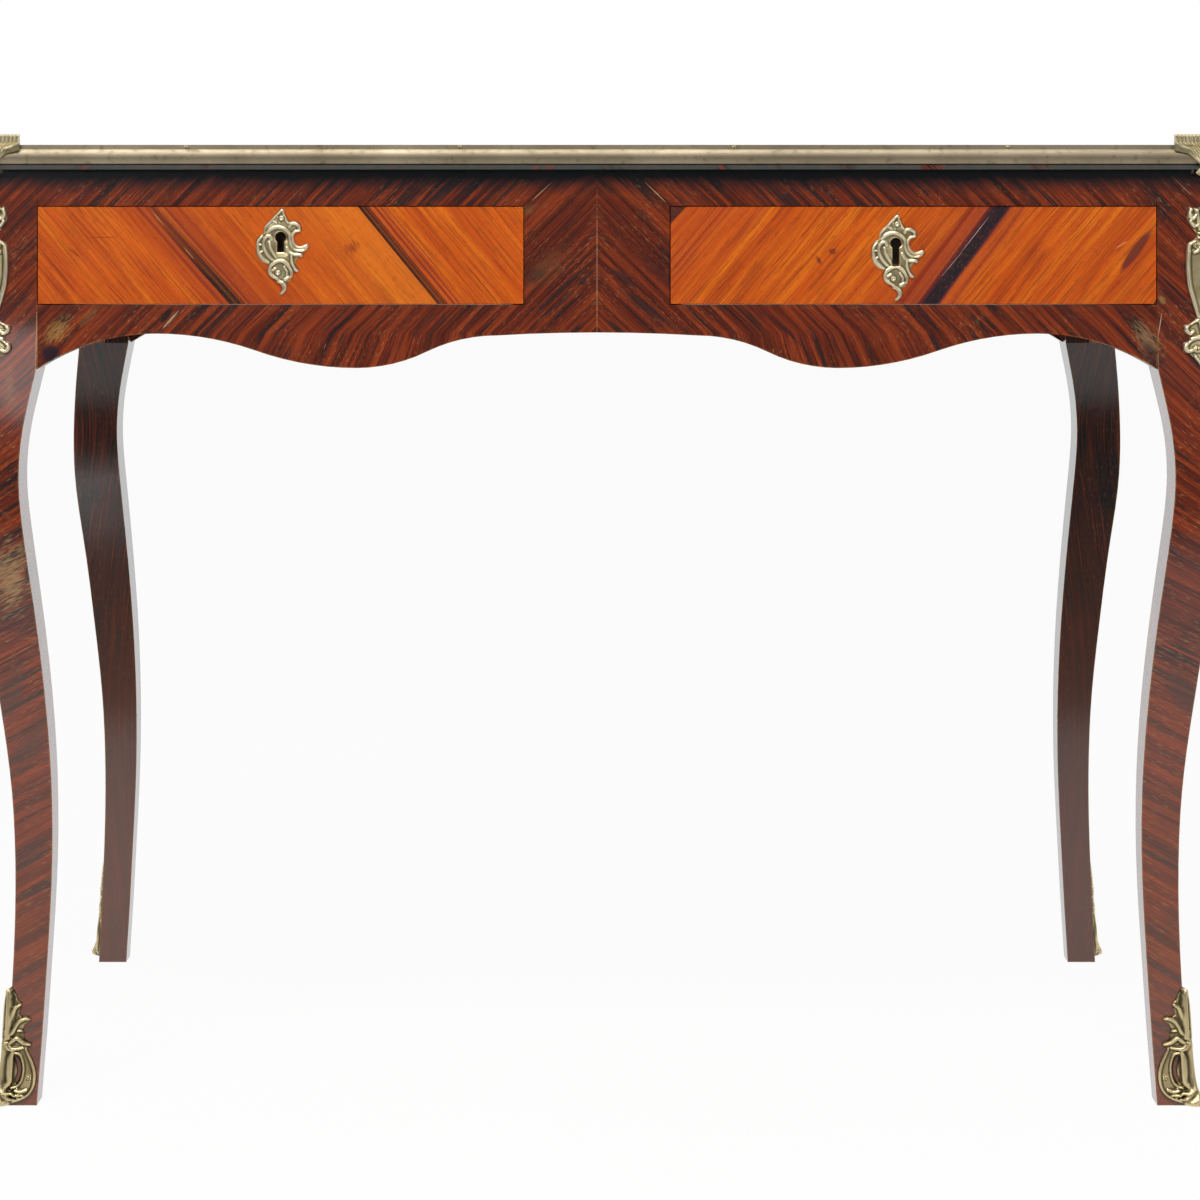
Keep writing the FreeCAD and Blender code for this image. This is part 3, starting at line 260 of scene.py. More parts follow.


# kingwood on the frame: dark red-brown with blue-black smoke, laid on the slant, with dust in its pores and
# rubbed arrises; a painted shadow under the top, painted shade and dirt on the lip, and a painted haze low on
# the legs
frameVeneer = {
    # a size is across and along the grain, a range is from and to in a noise, a fall is two heights
    "wrapped": True, "tilt": 45, "legMiddle": 0.750, "taper": (0.42, 0.62), "footShare": 0.55,
    "drift": 5 * mm, "driftSize": 120 * mm, "patchSize": 42 * mm,
    "figureSize": (7 * mm, 220 * mm),
    "figure": [(0.30, "#3f1206"), (0.42, "#5e1d09"), (0.50, "#73280a"), (0.58, "#8a350e"),
               (0.68, "#551806")],
    # rows: width and length in mm, from and to in the noise, share, colour
    "lines": [(1.6, 150, 0.48, 0.66, 0.65, "#2b0e06"), (0.8, 80, 0.50, 0.66, 0.55, "#200804"),
              (1.1, 90, 0.56, 0.74, 0.45, "#9e400c")],
    "smokeSize": (4 * mm, 100 * mm), "smokeRange": (0.50, 0.60), "smokePatches": (0.42, 0.56),
    "smoke": 0.8, "smokeColour": "#131619",
    "poreSize": (0.5 * mm, 7 * mm), "poreRange": (0.60, 0.68), "pores": 0.5, "poreColour": "#1a0905",
    "dustSize": (0.55 * mm, 7 * mm), "dustRange": (0.63, 0.71), "dustPatchSize": 30 * mm,
    "dustPatches": (0.42, 0.62), "dust": 0.45, "dustColour": "#b98856",
    "footDust": 0.12, "footDustFall": (0.60, 0.40),
    "gritSize": (1.2 * mm, 6 * mm),
    # painted shadow under the top's overhang: blue-black, ragged at its lower edge
    "shadowPatch": 25 * mm, "shadowRagged": 12 * mm, "shadowTop": 0.7505, "shadowFall": (0.736, 0.751),
    "paintedShadow": 0.97, "shadowColour": "#000f15",
    # the lip's dark grey band: painted shade and dirt
    "lipLevel": 0.7525, "lipHalf": 0.002, "lipPatches": (0.66, 0.56), "lip": 0.88, "lipColour": "#3d4542",
    # painted reflection: a pale haze low on the legs
    "hazeFall": (0.45, 0.10), "floorHaze": 0.28, "hazeColour": "#8a5a44",
    "wearReach": 2.2 * mm, "wearTurn": (0.97, 0.80), "wearPatch": 12 * mm, "wearBreak": (0.34, 0.50),
    "wearFall": (0.64, 0.60), "wear": 0.75, "wearColour": "#a5793f",
    "roughness": (0.32, 0.46), "poreDepth": -1.5, "bump": 0.2, "bumpDepth": 0.12 * mm,
    "specular": 0.2, "coat": 1.0, "coatRoughness": 0.13,
    "markPlane": -0.285, "markDepth": 0.025,     # the front's plane, and a mark's reach to either side
    # rows: x, z, half length, half width, tilt, colour, share, ragged edge
    "marks": [
        (0, 665, 76, 0.35, 90, "#b58d68", 0.6, 1.2),                                  # seam down the middle
        (-44, 733, 14, 0.35, 43, "#c9a376", 0.8, 0.8), (46, 733, 15, 0.35, -44, "#c9a376", 0.8, 0.8),
        (-446.6, 690, 60, 0.5, 90, "#1c0f0e", 0.8, 0.8), (446.6, 690, 60, 0.5, 90, "#1c0f0e", 0.8, 0.8),
        (-447, 612, 32, 0.6, 90, "#c4a27c", 0.7, 1.6), (449, 626, 14, 0.4, 80, "#cdb091", 0.7, 1.2),
        (-431, 621, 15, 9, 45, "#a07a40", 0.62, 3.0), (-436, 603, 9, 10, 60, "#1a1220", 0.9, 0.8),
        (-468, 574, 22, 7, 95, "#8f6a3c", 0.32, 3.0), (-405, 634, 14, 4, 45, "#8a6436", 0.3, 2.2),
        (439, 614, 20, 10, -60, "#a3805a", 0.5, 3.0), (443, 603, 16, 5, -55, "#2a1420", 0.7, 1.4),
        (451, 646, 5, 3, -50, "#8a7444", 0.55, 1.8), (464, 740, 18, 0.4, -44, "#b99370", 0.7, 0.9),
        (-340, 631, 12, 0.9, 48, "#d0b890", 0.5, 1.4), (-344, 634, 9, 3.2, 48, "#0f1112", 0.85, 0.8),
        (150, 623, 20, 1.4, -44, "#15151a", 0.8, 1.0), (262, 634, 22, 2.6, -50, "#191317", 0.75, 0.9),
        (-30, 654, 30, 2.4, 43, "#17191c", 0.75, 1.0), (22, 663, 17, 3.4, -38, "#17191c", 0.7, 1.2),
        (40, 640, 34, 3.6, -36, "#1a1a1e", 0.65, 1.2), (-12, 660, 4, 2.5, 0, "#14161a", 0.7, 1.0),
        (-40, 672, 26, 12, 45, "#6a5030", 0.22, 2.0), (-62, 716, 18, 5, 20, "#7a6238", 0.3, 2.0),
        (-467, 428, 34, 17, 85, "#a8905e", 0.55, 3.0), (-452, 430, 9, 5.5, 80, "#1b1218", 0.85, 0.8),
        (-466, 513, 10, 5, 80, "#1d1016", 0.7, 0.8), (-455, 290, 34, 13, 50, "#2c2622", 0.6, 1.4),
        (-455, 200, 30, 14, 45, "#2b2423", 0.65, 1.4), (472, 330, 36, 14, -50, "#25211f", 0.6, 1.4),
        (464, 150, 22, 10, -50, "#2b201e", 0.6, 1.4), (-470, 330, 30, 12, 70, "#2f2a24", 0.5, 1.4)],
}
kingwoodFrame = polishedVeneer("kingwoodFrame", frameVeneer)

# rosewood on the back legs: darker, with the grain straight down and blue-black along the edges, and a
# stronger painted pale haze of reflection low down
rosewoodLeg = polishedVeneer("rosewoodLeg", {
    **frameVeneer, "tilt": 90, "footShare": 1.0, "marks": [], "dust": 0.2,
    "floorHaze": 0.5, "hazeColour": "#8c5f50",
    "figure": [(0.30, "#190b07"), (0.44, "#2f140c"), (0.54, "#431d10"), (0.66, "#230e08")],
    "smoke": 0.9, "smokeSize": (6 * mm, 120 * mm), "smokeColour": "#0c1618"})

oakTones = [(0.35, "#8a6238"), (0.5, "#a97f4d"), (0.62, "#bd9560")]     # bare oak, dark to light
# tulipwood drawer fronts: orange sheets laid on the slant on oak boards, darkened in streaks
drawerVeneer = {
    **frameVeneer, "wrapped": False, "drift": 4 * mm, "driftSize": 90 * mm,
    "figureSize": (10 * mm, 190 * mm),
    "figure": [(0.25, "#ab4202"), (0.42, "#b94c02"), (0.52, "#c35603"), (0.62, "#cb6205"),
               (0.78, "#d4700b")],
    "lines": [(1.3, 110, 0.53, 0.68, 0.55, "#8a3204"), (0.8, 45, 0.55, 0.66, 0.60, "#702604"),
              (0.9, 60, 0.60, 0.80, 0.25, "#d97c1c")],
    "smokeSize": (3 * mm, 80 * mm), "smoke": 0.40, "smokeColour": "#782606",
    "poreColour": "#7f2a06", "dust": 0.12, "dustSize": (0.55 * mm, 3 * mm), "dustColour": "#eab680",
    "wear": 0.0,
    "bare": oakTones, "bareSize": (2.5 * mm, 120 * mm),
    "sheetBack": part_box("left_drawer_front")[0].y + 1.3 * mm,
}
redLines = [
    (0.0, "#7a2610", 0.0), (0.10, "#7a2610", 0.85), (0.16, "#a84418", 0.3), (0.28, "#c05a20", 0.1),
    (0.34, "#6e2010", 0.9), (0.42, "#8c3014", 0.5), (0.52, "#c25c20", 0.1), (0.58, "#701f10", 0.8),
    (0.66, "#a04016", 0.3), (0.78, "#b8521c", 0.0), (0.84, "#7c2812", 0.6), (0.92, "#b8521c", 0.0)]
blackBand = [
    (0.0, "#20100a", 0.0), (0.05, "#20100a", 1.0), (0.28, "#28150d", 0.95), (0.40, "#643818", 0.85),
    (0.52, "#3a2010", 0.9), (0.68, "#22110b", 0.95), (0.80, "#74300f", 0.5), (0.88, "#2c1109", 0.8),
    (1.0, "#6a2410", 0.0)]
tulipwoodLeft = polishedVeneer("tulipwoodLeft", {
    **drawerVeneer, "front": "left_drawer_front", "tilt": 50,
    # rows: x at the head and at the foot, waver, from and to across it, how solid at head and foot, its ramp
    "streaks": [
        (-190.7, -127.5, 0, (-120, 0), 1, 1,
         [(0.0, "#dc7a1c", 0.0), (0.4, "#dc7a1c", 0.12), (0.998, "#de801f", 0.42), (1.0, "#de801f", 0.0)]),
        (-357.0, -289.0, 1.5, (-34, 76), 0.7, 1,
         [(0.0, "#9a3a12", 0.0), (0.22, "#8a2c10", 0.4), (0.34, "#752210", 0.7), (0.6, "#8f3210", 0.35),
          (1.0, "#a8440f", 0.0)]),
        (-357.0, -289.0, 1.0, (-14, 30), 1.2, 1, redLines),
        (-357.0, -289.0, 1.0, (-5, 9), 0.3, 1.3, blackBand),
        (-190.7, -127.5, 0, (6, 26), 1.3, 1.2, redLines),
        (-190.7, -127.5, 0.3, (-0.3, 9), 1, 0.9, blackBand)],
    "marks": [(-394, 696.4, 14, 0.45, 0, "#7c2a12", 0.9, 0.4), (-196, 688, 8, 6, 50, "#7a2c12", 0.7, 3.0),
              (-417, 684, 8, 1.0, -40, "#8a3012", 0.8, 0.8), (-318, 679, 7, 3.5, -40, "#5a2010", 0.6, 1.4),
              (-350, 711, 9, 0.25, -50, "#e2b480", 0.7, 1.2),
              (-326, 684, 8, 0.25, -50, "#e2b480", 0.6, 1.2)]})
tulipwoodRight = polishedVeneer("tulipwoodRight", {
    **drawerVeneer, "front": "right_drawer_front", "tilt": -50,
    "streaks": [
        (140.0, 74.0, 0.2, (-90, 0.4), 1, 0.4,
         [(0.0, "#a83e14", 0.5), (0.9, "#a84014", 0.35), (0.985, "#a03a12", 0.6), (1.0, "#6e2210", 0.0)]),
        (107.0, 41.0, 1.0, (-14, 12), 0.7, 0.7, redLines),
        (312.0, 252.0, 1.5, (-60, 60), 0.8, 1,
         [(0.0, "#a8440f", 0.0), (0.36, "#8a2a14", 0.45), (0.5, "#6e1c18", 0.8), (0.64, "#8a2c18", 0.4),
          (1.0, "#a8440f", 0.0)]),
        (319.0, 262.0, 0.6, (-24, 30), 1.2, 1.2, redLines),
        (319.0, 262.0, 0.6, (-7, 13), 1, 1,
         [(0.0, "#5c1c24", 0.0), (0.14, "#4c1a24", 0.85), (0.26, "#221a20", 1.0), (0.80, "#1f1a20", 1.0),
          (0.90, "#54202a", 0.85), (1.0, "#8c3020", 0.0)]),
        (71.5, 0.0, 0.3, (-40, 0.5), 1, 1,
         [(0.0, "#4a2018", 1.0), (0.96, "#4a2018", 1.0), (1.0, "#3a1812", 0.0)])],
    "marks": [(430, 685.5, 23, 4.4, 54, "#67291a", 0.95, 0.15), (188, 685, 4, 3, 0, "#6a2512", 0.8, 1.2),
              (177, 678, 4.5, 2, -60, "#6a2512", 0.8, 1.2), (418, 690, 7, 0.8, 30, "#e2a878", 0.4, 1.8),
              (302, 699, 22, 0.3, 52, "#d8b0a0", 0.7, 0.9), (284, 676, 16, 0.3, 50, "#d8b0a0", 0.5, 0.9),
              (447, 644, 4, 3, 45, "#3a1a14", 0.9, 0.6)]})

dress(kingwoodFrame, "front_right_leg", "front_left_leg", "front_apron", "back_apron", "left_apron",
      "right_apron", "front_top_rail", "centre_stile", "top_board")
dress(rosewoodLeg, "back_right_leg", "back_left_leg")
dress(tulipwoodLeft, "left_drawer_front")
dress(tulipwoodRight, "right_drawer_front")
print("veneers")


# plain woods

def planedWood(name, look):
    # bare planed boards: no polish, open grain, stains from handling
    material, tree = newMaterial(name)
    spot = addNode(tree, "TexCoord").outputs["Object"]
    laid = addNode(tree, "Mapping", {"Vector": spot, "Scale": [1 / size for size in look["grainSize"]]})
    rings = addNode(tree, "TexNoise", {"Vector": laid, "Scale": 1.0, "Detail": 5.0})
    shade = addNode(tree, "ValToRGB", [rings])
    setStops(shade, look["bands"])
    stains = addNode(tree, "TexNoise", {"Vector": spot, "Scale": 1 / look["stainSize"], "Detail": 4.0})
    colour = layOver(tree, shade, stains, *look["stainRange"], look["stain"], look["stainColour"])
    bump = addNode(tree, "Bump", {"Strength": look["bump"], "Distance": look["bumpDepth"], "Height": rings})
    shader = addNode(tree, "BsdfPrincipled", {
        "Base Color": colour, "Roughness": look["roughness"], "Normal": bump})
    addNode(tree, "OutputMaterial", [shader])
    return material


# what the bare boards share: a dry surface, open grain, brown stains a few centimetres wide
planedOak = {
    "bands": oakTones, "roughness": 0.62, "bump": 0.3, "bumpDepth": 0.3 * mm,
    "stainSize": 60 * mm, "stainRange": (0.45, 0.75), "stain": 0.5, "stainColour": "#7a5632",
}
# quartered oak linings of the drawers, grain front to back
oakLining = planedWood("oakLining", {**planedOak, "grainSize": (2.5 * mm, 120 * mm, 2.5 * mm)})
# the same oak across the drawers' backs, grain sideways
oakBack = planedWood("oakBack", {**planedOak, "grainSize": (120 * mm, 2.5 * mm, 2.5 * mm)})
# pine of the hidden frame, grain sideways
pineFrame = planedWood("pineFrame", {
    **planedOak, "grainSize": (140 * mm, 4 * mm, 4 * mm), "stainColour": "#6b4627",
    "bands": [(0.35, "#7c5531"), (0.5, "#a27443"), (0.62, "#b88a55")]})
for hand in ("left", "right"):
    dress(oakLining, *(f"{hand}_drawer_{part}" for part in ("inner_side", "outer_side", "bottom")))
    dress(oakBack, f"{hand}_drawer_back")
    dress(pineFrame, f"{hand}_runner", f"{hand}_guide", f"{hand}_kicker")
dress(pineFrame, "centre_bearer", "centre_guides", "centre_kicker", "glue_blocks", "drawer_stops")
print("plain woods")


# metals

def castMetal(name, look):
    # cast or rolled metal, toned in clouds, with painted shade and wax and dust in its hollows, and a painted
    # highlight that makes its high parts pale
    material, tree = newMaterial(name)
    spot = addNode(tree, "TexCoord").outputs["Object"]
    cloud = addNode(tree, "TexNoise", {"Vector": spot, "Scale": 1 / look["cloud"], "Detail": 4.0})
    colour = addNode(tree, "ValToRGB", [cloud])
    setStops(colour, look["tones"])
    speck = addNode(tree, "TexNoise", {"Vector": spot, "Scale": 1 / look["speck"], "Detail": 3.0})
    colour = layOver(tree, colour, speck, *look["speckRange"], look["tarnish"], look["tarnishColour"])
    # painted shade, with wax and dust, darkens the hollows, and a painted highlight makes the high parts pale
    if "hollow" in look:
        depth = addNode(tree, "Attribute", attribute_name="hollow").outputs["Fac"]
        colour = layOver(tree, colour, depth, *look["hollowRange"], look["hollow"], look["hollowColour"])
        colour = layOver(tree, colour, depth, *look["highlightRange"], look["rubbed"], look["highlightColour"])
    rougher = [look["roughness"] + spread for spread in look["roughnessSpread"]]
    gloss = addNode(tree, "MapRange", [speck, 0.3, 0.7, *rougher])
    grain = addNode(tree, "TexNoise", {"Vector": spot, "Scale": 1 / look["grain"], "Detail": 4.0})
    bump = addNode(tree, "Bump", {"Strength": look["bump"], "Distance": look["rough"], "Height": grain})
    shader = addNode(tree, "BsdfPrincipled", {
        "Base Color": colour, "Roughness": gloss, "Metallic": 1.0, "Normal": bump})
    addNode(tree, "OutputMaterial", [shader])
    return material


# what the metals share; the ranges are from and to in their noise or in a casting's hollows
metalFinish = {
    # in a casting the hollows get painted shade, and the high parts a painted highlight whose share is rubbed
    "speckRange": (0.58, 0.72), "hollowRange": (0.08, 0.9), "highlightRange": (-0.1, -0.7), "rubbed": 0.8,
    "roughnessSpread": (-0.03, 0.06), "grain": 0.9 * mm, "bump": 0.3,
}
# drawn brass moulding, toned brown by handling
drawnBrass = castMetal("drawnBrass", {
    **metalFinish, "cloud": 60 * mm, "tones": [(0.3, "#8f836c"), (0.5, "#9f927a"), (0.7, "#afa188")],
    "speck": 6 * mm, "tarnish": 0.5, "tarnishColour": "#6a5d45", "roughness": 0.52, "rough": 0.05 * mm})
# gilt bronze castings: pale gold, with a painted highlight on the high parts, and painted shade with wax and
# dust in the hollows
gildedBronze = castMetal("gildedBronze", {
    **metalFinish, "cloud": 12 * mm, "tones": [(0.3, "#d0bf8c"), (0.5, "#e0d0a2"), (0.7, "#ecdfb8")],
    "speck": 3 * mm, "tarnish": 0.2, "tarnishColour": "#b4a672", "roughness": 0.33, "rough": 0.04 * mm,
    "hollow": 0.75, "hollowColour": "#5c4c26", "highlightColour": "#f6ecd0"})
# bronze of the feet, its gilding rubbed away, with painted shade in its hollows and a painted highlight on
# its high parts
rubbedBronze = castMetal("rubbedBronze", {
    **metalFinish, "cloud": 14 * mm, "tones": [(0.3, "#96845a"), (0.5, "#ab9970"), (0.7, "#c0ad84")],
    "speck": 3 * mm, "tarnish": 0.3, "tarnishColour": "#77694a", "roughness": 0.33, "rough": 0.08 * mm,
    "hollow": 0.8, "hollowColour": "#34342a", "highlightColour": "#dcca9c"})
# filed iron of the locks: dark grey, with brown rust in spots
filedIron = castMetal("filedIron", {
    **metalFinish, "cloud": 10 * mm, "tones": [(0.3, "#4b4742"), (0.6, "#6a6560"), (0.8, "#7c7670")],
    "speck": 2 * mm, "tarnish": 0.5, "tarnishColour": "#4a3020", "roughness": 0.45, "rough": 0.15 * mm})
# turned steel screws: mid grey, dulled in spots
turnedSteel = castMetal("turnedSteel", {
    **metalFinish, "cloud": 5 * mm, "tones": [(0.3, "#8b8780"), (0.7, "#a9a59d")],
    "speck": 1.5 * mm, "tarnish": 0.4, "tarnishColour": "#5f5a52", "roughness": 0.32, "rough": 0.05 * mm})

corners = [f"{end}_{hand}" for end in ("front", "back") for hand in ("left", "right")]
dress(drawnBrass, *(f"{side}_brass_edge" for side in ("front", "back", "left", "right")), "edge_pins")
dress(gildedBronze, *(f"{corner}_{part}" for corner in corners for part in ("clasp", "knee_mount")),
      "left_escutcheon", "right_escutcheon", "mount_pins")
dress(rubbedBronze, *(f"{corner}_sabot" for corner in corners))
dress(filedIron, "left_lock_case", "right_lock_case", "left_lock_bolt", "right_lock_bolt")
dress(turnedSteel, "top_screws")
print("metals")


# leather

def tooledHide(name, look):
    # waxed calf on the writing surface, with gilt fillets worked round its border
    material, tree = newMaterial(name)
    spot = addNode(tree, "TexCoord").outputs["Object"]
    x, y, _ = addNode(tree, "SeparateXYZ", [spot]).outputs
    gaps = []
    for axis, reach in ((x, look["halfWidth"]), (y, look["halfLength"])):
        size = addNode(tree, "Math", [axis], operation="ABSOLUTE")
        gaps.append(addNode(tree, "Math", [reach, size], operation="SUBTRACT"))
    inset = addNode(tree, "Math", gaps, operation="MINIMUM")
    cloud = addNode(tree, "TexNoise", {"Vector": spot, "Scale": 1 / look["cloud"], "Detail": 5.0})
    shade = addNode(tree, "ValToRGB", [cloud])
    setStops(shade, look["tones"])
    grain = addNode(tree, "TexVoronoi", {"Vector": spot, "Scale": 1 / look["grain"]})
    gilt = 0.0
    for place, width in look["fillets"]:
        away = addNode(tree, "Math", [inset, place], operation="SUBTRACT")
        off = addNode(tree, "Math", [away], operation="ABSOLUTE")
        line = addNode(tree, "MapRange", [off, width / 2, width / 2 - look["filletEdge"]])
        gilt = addNode(tree, "Math", [line, gilt], operation="MAXIMUM")
    rubbed = addNode(tree, "MapRange", [cloud, 0.3, 0.6, *look["giltLeft"]])
    gilt = addNode(tree, "Math", [gilt, rubbed], operation="MULTIPLY")
    colour = layOver(tree, shade, gilt, 0, 1, 1, look["gold"])
    height = addNode(tree, "Math", [gilt, look["filletDepth"], grain], operation="MULTIPLY_ADD")
    bump = addNode(tree, "Bump", {"Strength": look["bump"], "Distance": look["bumpDepth"], "Height": height})
    shader = addNode(tree, "BsdfPrincipled", {
        "Base Color": colour, "Roughness": look["roughness"], "Metallic": gilt, "Normal": bump})
    addNode(tree, "OutputMaterial", [shader])
    return material


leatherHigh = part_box("writing_leather")[1]
waxedCalf = tooledHide("waxedCalf", {
    "halfWidth": leatherHigh.x, "halfLength": leatherHigh.y, "cloud": 90 * mm, "grain": 1.6 * mm,
    "tones": [(0.3, "#3a2114"), (0.5, "#4d2c1a"), (0.7, "#5d3821")],
    "fillets": [(14 * mm, 1.6 * mm), (22 * mm, 0.8 * mm), (34 * mm, 3.0 * mm)],   # in from the edge, width
    "filletEdge": 0.15 * mm, "filletDepth": -1.5, "gold": "#c9a45a", "giltLeft": (0.4, 0.95),
    "roughness": 0.48, "bump": 0.35, "bumpDepth": 0.25 * mm})
dress(waxedCalf, "writing_leather")
print("leather")


# castings: a height is drawn on a fine grid in millimetres, trimmed to an outline and laid on the table

relief = {"pointGap": 0.3, "hollowReach": 1.6, "hollowDepth": 0.45, "crease": 62}   # shared by all castings


def smoothLine(points, closed=False, steps=10):
    # through the points; each span is a cubic steered by the points before and after it
    points = np.asarray(points, float)
    if closed:
        points = np.concatenate([points[-1:], points, points[:2]])
    else:
        points = np.concatenate([2 * points[:1] - points[1:2], points, 2 * points[-1:] - points[-2:-1]])
    before, start, end, after = points[:-3], points[1:-2], points[2:-1], points[3:]
    t = np.linspace(0, 1, steps, endpoint=False)[:, None, None]
    spans = 0.5 * (2 * start + t * (end - before) + t ** 2 * (2 * before - 5 * start + 4 * end - after)
                   + t ** 3 * (3 * start - before - 3 * end + after))
    line = spans.transpose(1, 0, 2).reshape(-1, points.shape[1])
    return line if closed else np.concatenate([line, points[-2:-1]])


def nearest(a, b, line):
    # distance from each grid point to a line, and which of the line's points is the nearest
    gap = (a[..., None] - line[:, 0]) ** 2 + (b[..., None] - line[:, 1]) ** 2
    index = gap.argmin(-1)
    return np.sqrt(gap.min(-1)), index


def insideOf(a, b, outline):
    # true where an upright ray crosses the outline an odd number of times
    count = np.zeros(a.shape, int)
    for (ax, ay), (bx, by) in zip(outline, np.roll(outline, -1, 0)):
        if ax != bx:
            spans = (a < ax) != (a < bx)
            count += spans & (b < ay + (a - ax) * (by - ay) / (bx - ax))
    return count % 2 == 1


def drawRidges(a, b, strokes, field):
    # a stroke is a line of (across, up, half width, height), and its top is round: at a distance d from the
    # line it is height * sqrt(1 - (d / half width)**2)
    for points in strokes:
        line = np.asarray(points, float)
        if len(line) > 1:
            line = smoothLine(points)
            run = np.append(0, np.hypot(*np.diff(line[:, :2], axis=0).T).cumsum())
            even = np.linspace(0, run[-1], int(run[-1] / relief["pointGap"]) + 2)
            line = np.stack([np.interp(even, run, line[:, column]) for column in range(4)], -1)
        low = line[:, :2].min(0) - line[:, 2].max()
        high = line[:, :2].max(0) + line[:, 2].max()
        close = (a > low[0]) & (a < high[0]) & (b > low[1]) & (b < high[1])
        gap, index = nearest(a[close], b[close], line)
        height = line[index, 3] * np.sqrt(np.clip(1 - (gap / line[index, 2]) ** 2, 0, 1))
        field[close] = np.maximum(field[close], height)
    return field


def blurred(field, reach):
    # mean over a square window, taken one way and then the other
    for axis in (0, 1):
        padding = [(reach + 1, reach) if axis == other else (0, 0) for other in (0, 1)]
        total = np.cumsum(np.pad(field, padding, mode="edge"), axis=axis)
        last = total.shape[axis]
        width = 2 * reach + 1
        before = np.take(total, np.arange(0, last - width), axis)
        field = (np.take(total, np.arange(width, last), axis) - before) / width
    return field


def reliefShell(outline, holes, look, height, seat):
    # closed shell: its front is seat(a, b, height(a, b)), its back seat(a, b, 0), and walls join their rims;
    # the height falls off at the edges as keep + (1 - keep) * sqrt(gap / round), and a point lies in a hollow
    # by how far the mean height around it stands over its own
    step = look["step"]
    low = outline.min(0) - 2 * step
    high = outline.max(0) + 2 * step
    acrossLines = np.arange(low[0], high[0], step)
    upLines = np.arange(low[1], high[1], step)
    a, b = np.meshgrid(acrossLines, upLines, indexing="ij")
    inside = insideOf(a, b, outline)
    for hole in holes:
        inside &= ~insideOf(a, b, hole)
    kept = inside[:-1, :-1] | inside[1:, :-1] | inside[:-1, 1:] | inside[1:, 1:]
    used = np.zeros(a.shape, bool)
    for across in (0, 1):
        for up in (0, 1):
            used[across:a.shape[0] - 1 + across, up:a.shape[1] - 1 + up] |= kept
    rims = np.concatenate([outline, *holes])
    outer = used & ~inside
    gap, index = nearest(a[outer], b[outer], rims)
    a[outer], b[outer] = rims[index, 0], rims[index, 1]
    edgeGap = np.zeros(a.shape)
    edgeGap[inside] = nearest(a[inside], b[inside], rims)[0]
    top = height(a, b, edgeGap)
    around = blurred(top, round(relief["hollowReach"] / step))
    hollow = np.clip((around - top) / relief["hollowDepth"], -1, 1)
    top = top * (look["keep"] + (1 - look["keep"]) * np.sqrt(np.clip(edgeGap / look["round"], 0, 1)))

    number = np.full(a.shape, -1)
    number[used] = np.arange(used.sum())
    corners = [number[:-1, :-1], number[1:, :-1], number[1:, 1:], number[:-1, 1:]]
    front = np.stack([corner[kept] for corner in corners], -1)
    count = int(used.sum())
    starts, ends = front.ravel(), np.roll(front, -1, 1).ravel()
    rim = ~np.isin(starts * count + ends, ends * count + starts)
    starts, ends = starts[rim], ends[rim]
    walls = np.stack([ends, starts, starts + count, ends + count], -1)
    faces = np.concatenate([front, front[:, ::-1] + count, walls])
    spots = np.concatenate([seat(a[used], b[used], top[used]), seat(a[used], b[used], np.zeros(count))])
    return spots, faces, np.concatenate([hollow[used], np.ones(count)])


def meshPiece(name, spots, faces, hollow, finish, slot, body="frame"):
    # one smooth mesh with sharp creases; cast metals read its hollow, -1 on high parts to 1 in low ones, as
    # painted highlight and painted shade
    mesh = bpy.data.meshes.new(name)
    mesh.vertices.add(len(spots))
    mesh.vertices.foreach_set("co", np.asarray(spots, np.float32).ravel())
    mesh.loops.add(faces.size)
    mesh.loops.foreach_set("vertex_index", faces.astype(np.int32).ravel())
    mesh.polygons.add(len(faces))
    mesh.polygons.foreach_set("loop_start", np.arange(0, faces.size, faces.shape[1], dtype=np.int32))
    mesh.update(calc_edges=True)
    mesh.attributes.new("hollow", "FLOAT", "POINT").data.foreach_set("value", hollow.astype(np.float32))
    mesh.polygons.foreach_set("use_smooth", np.ones(len(faces), bool))
    mesh.set_sharp_from_angle(angle=math.radians(relief["crease"]))
    mesh.materials.append(finish)
    mesh.validate()
    piece = bpy.data.objects.new(name, mesh)
    bpy.context.scene.collection.objects.link(piece)
    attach(piece, body)
    return piece


def atFourCorners(label, node, finish, slot, spots, faces, hollow):
    # made at the front right corner; a mirror image has its faces turned round again
    for end, along in (("front", 1), ("back", -1)):
        for hand, across in (("right", 1), ("left", -1)):
            turned = faces if across * along > 0 else faces[:, ::-1]
            placed = spots * (across, along, 1)
            piece = meshPiece(f"{end}_{hand}_{label}", placed, turned, hollow, finish, slot)
            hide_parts(f"{end}_{hand}_{node}")


# escutcheons: asymmetric shell and scroll plates, drawn about the round of the keyhole

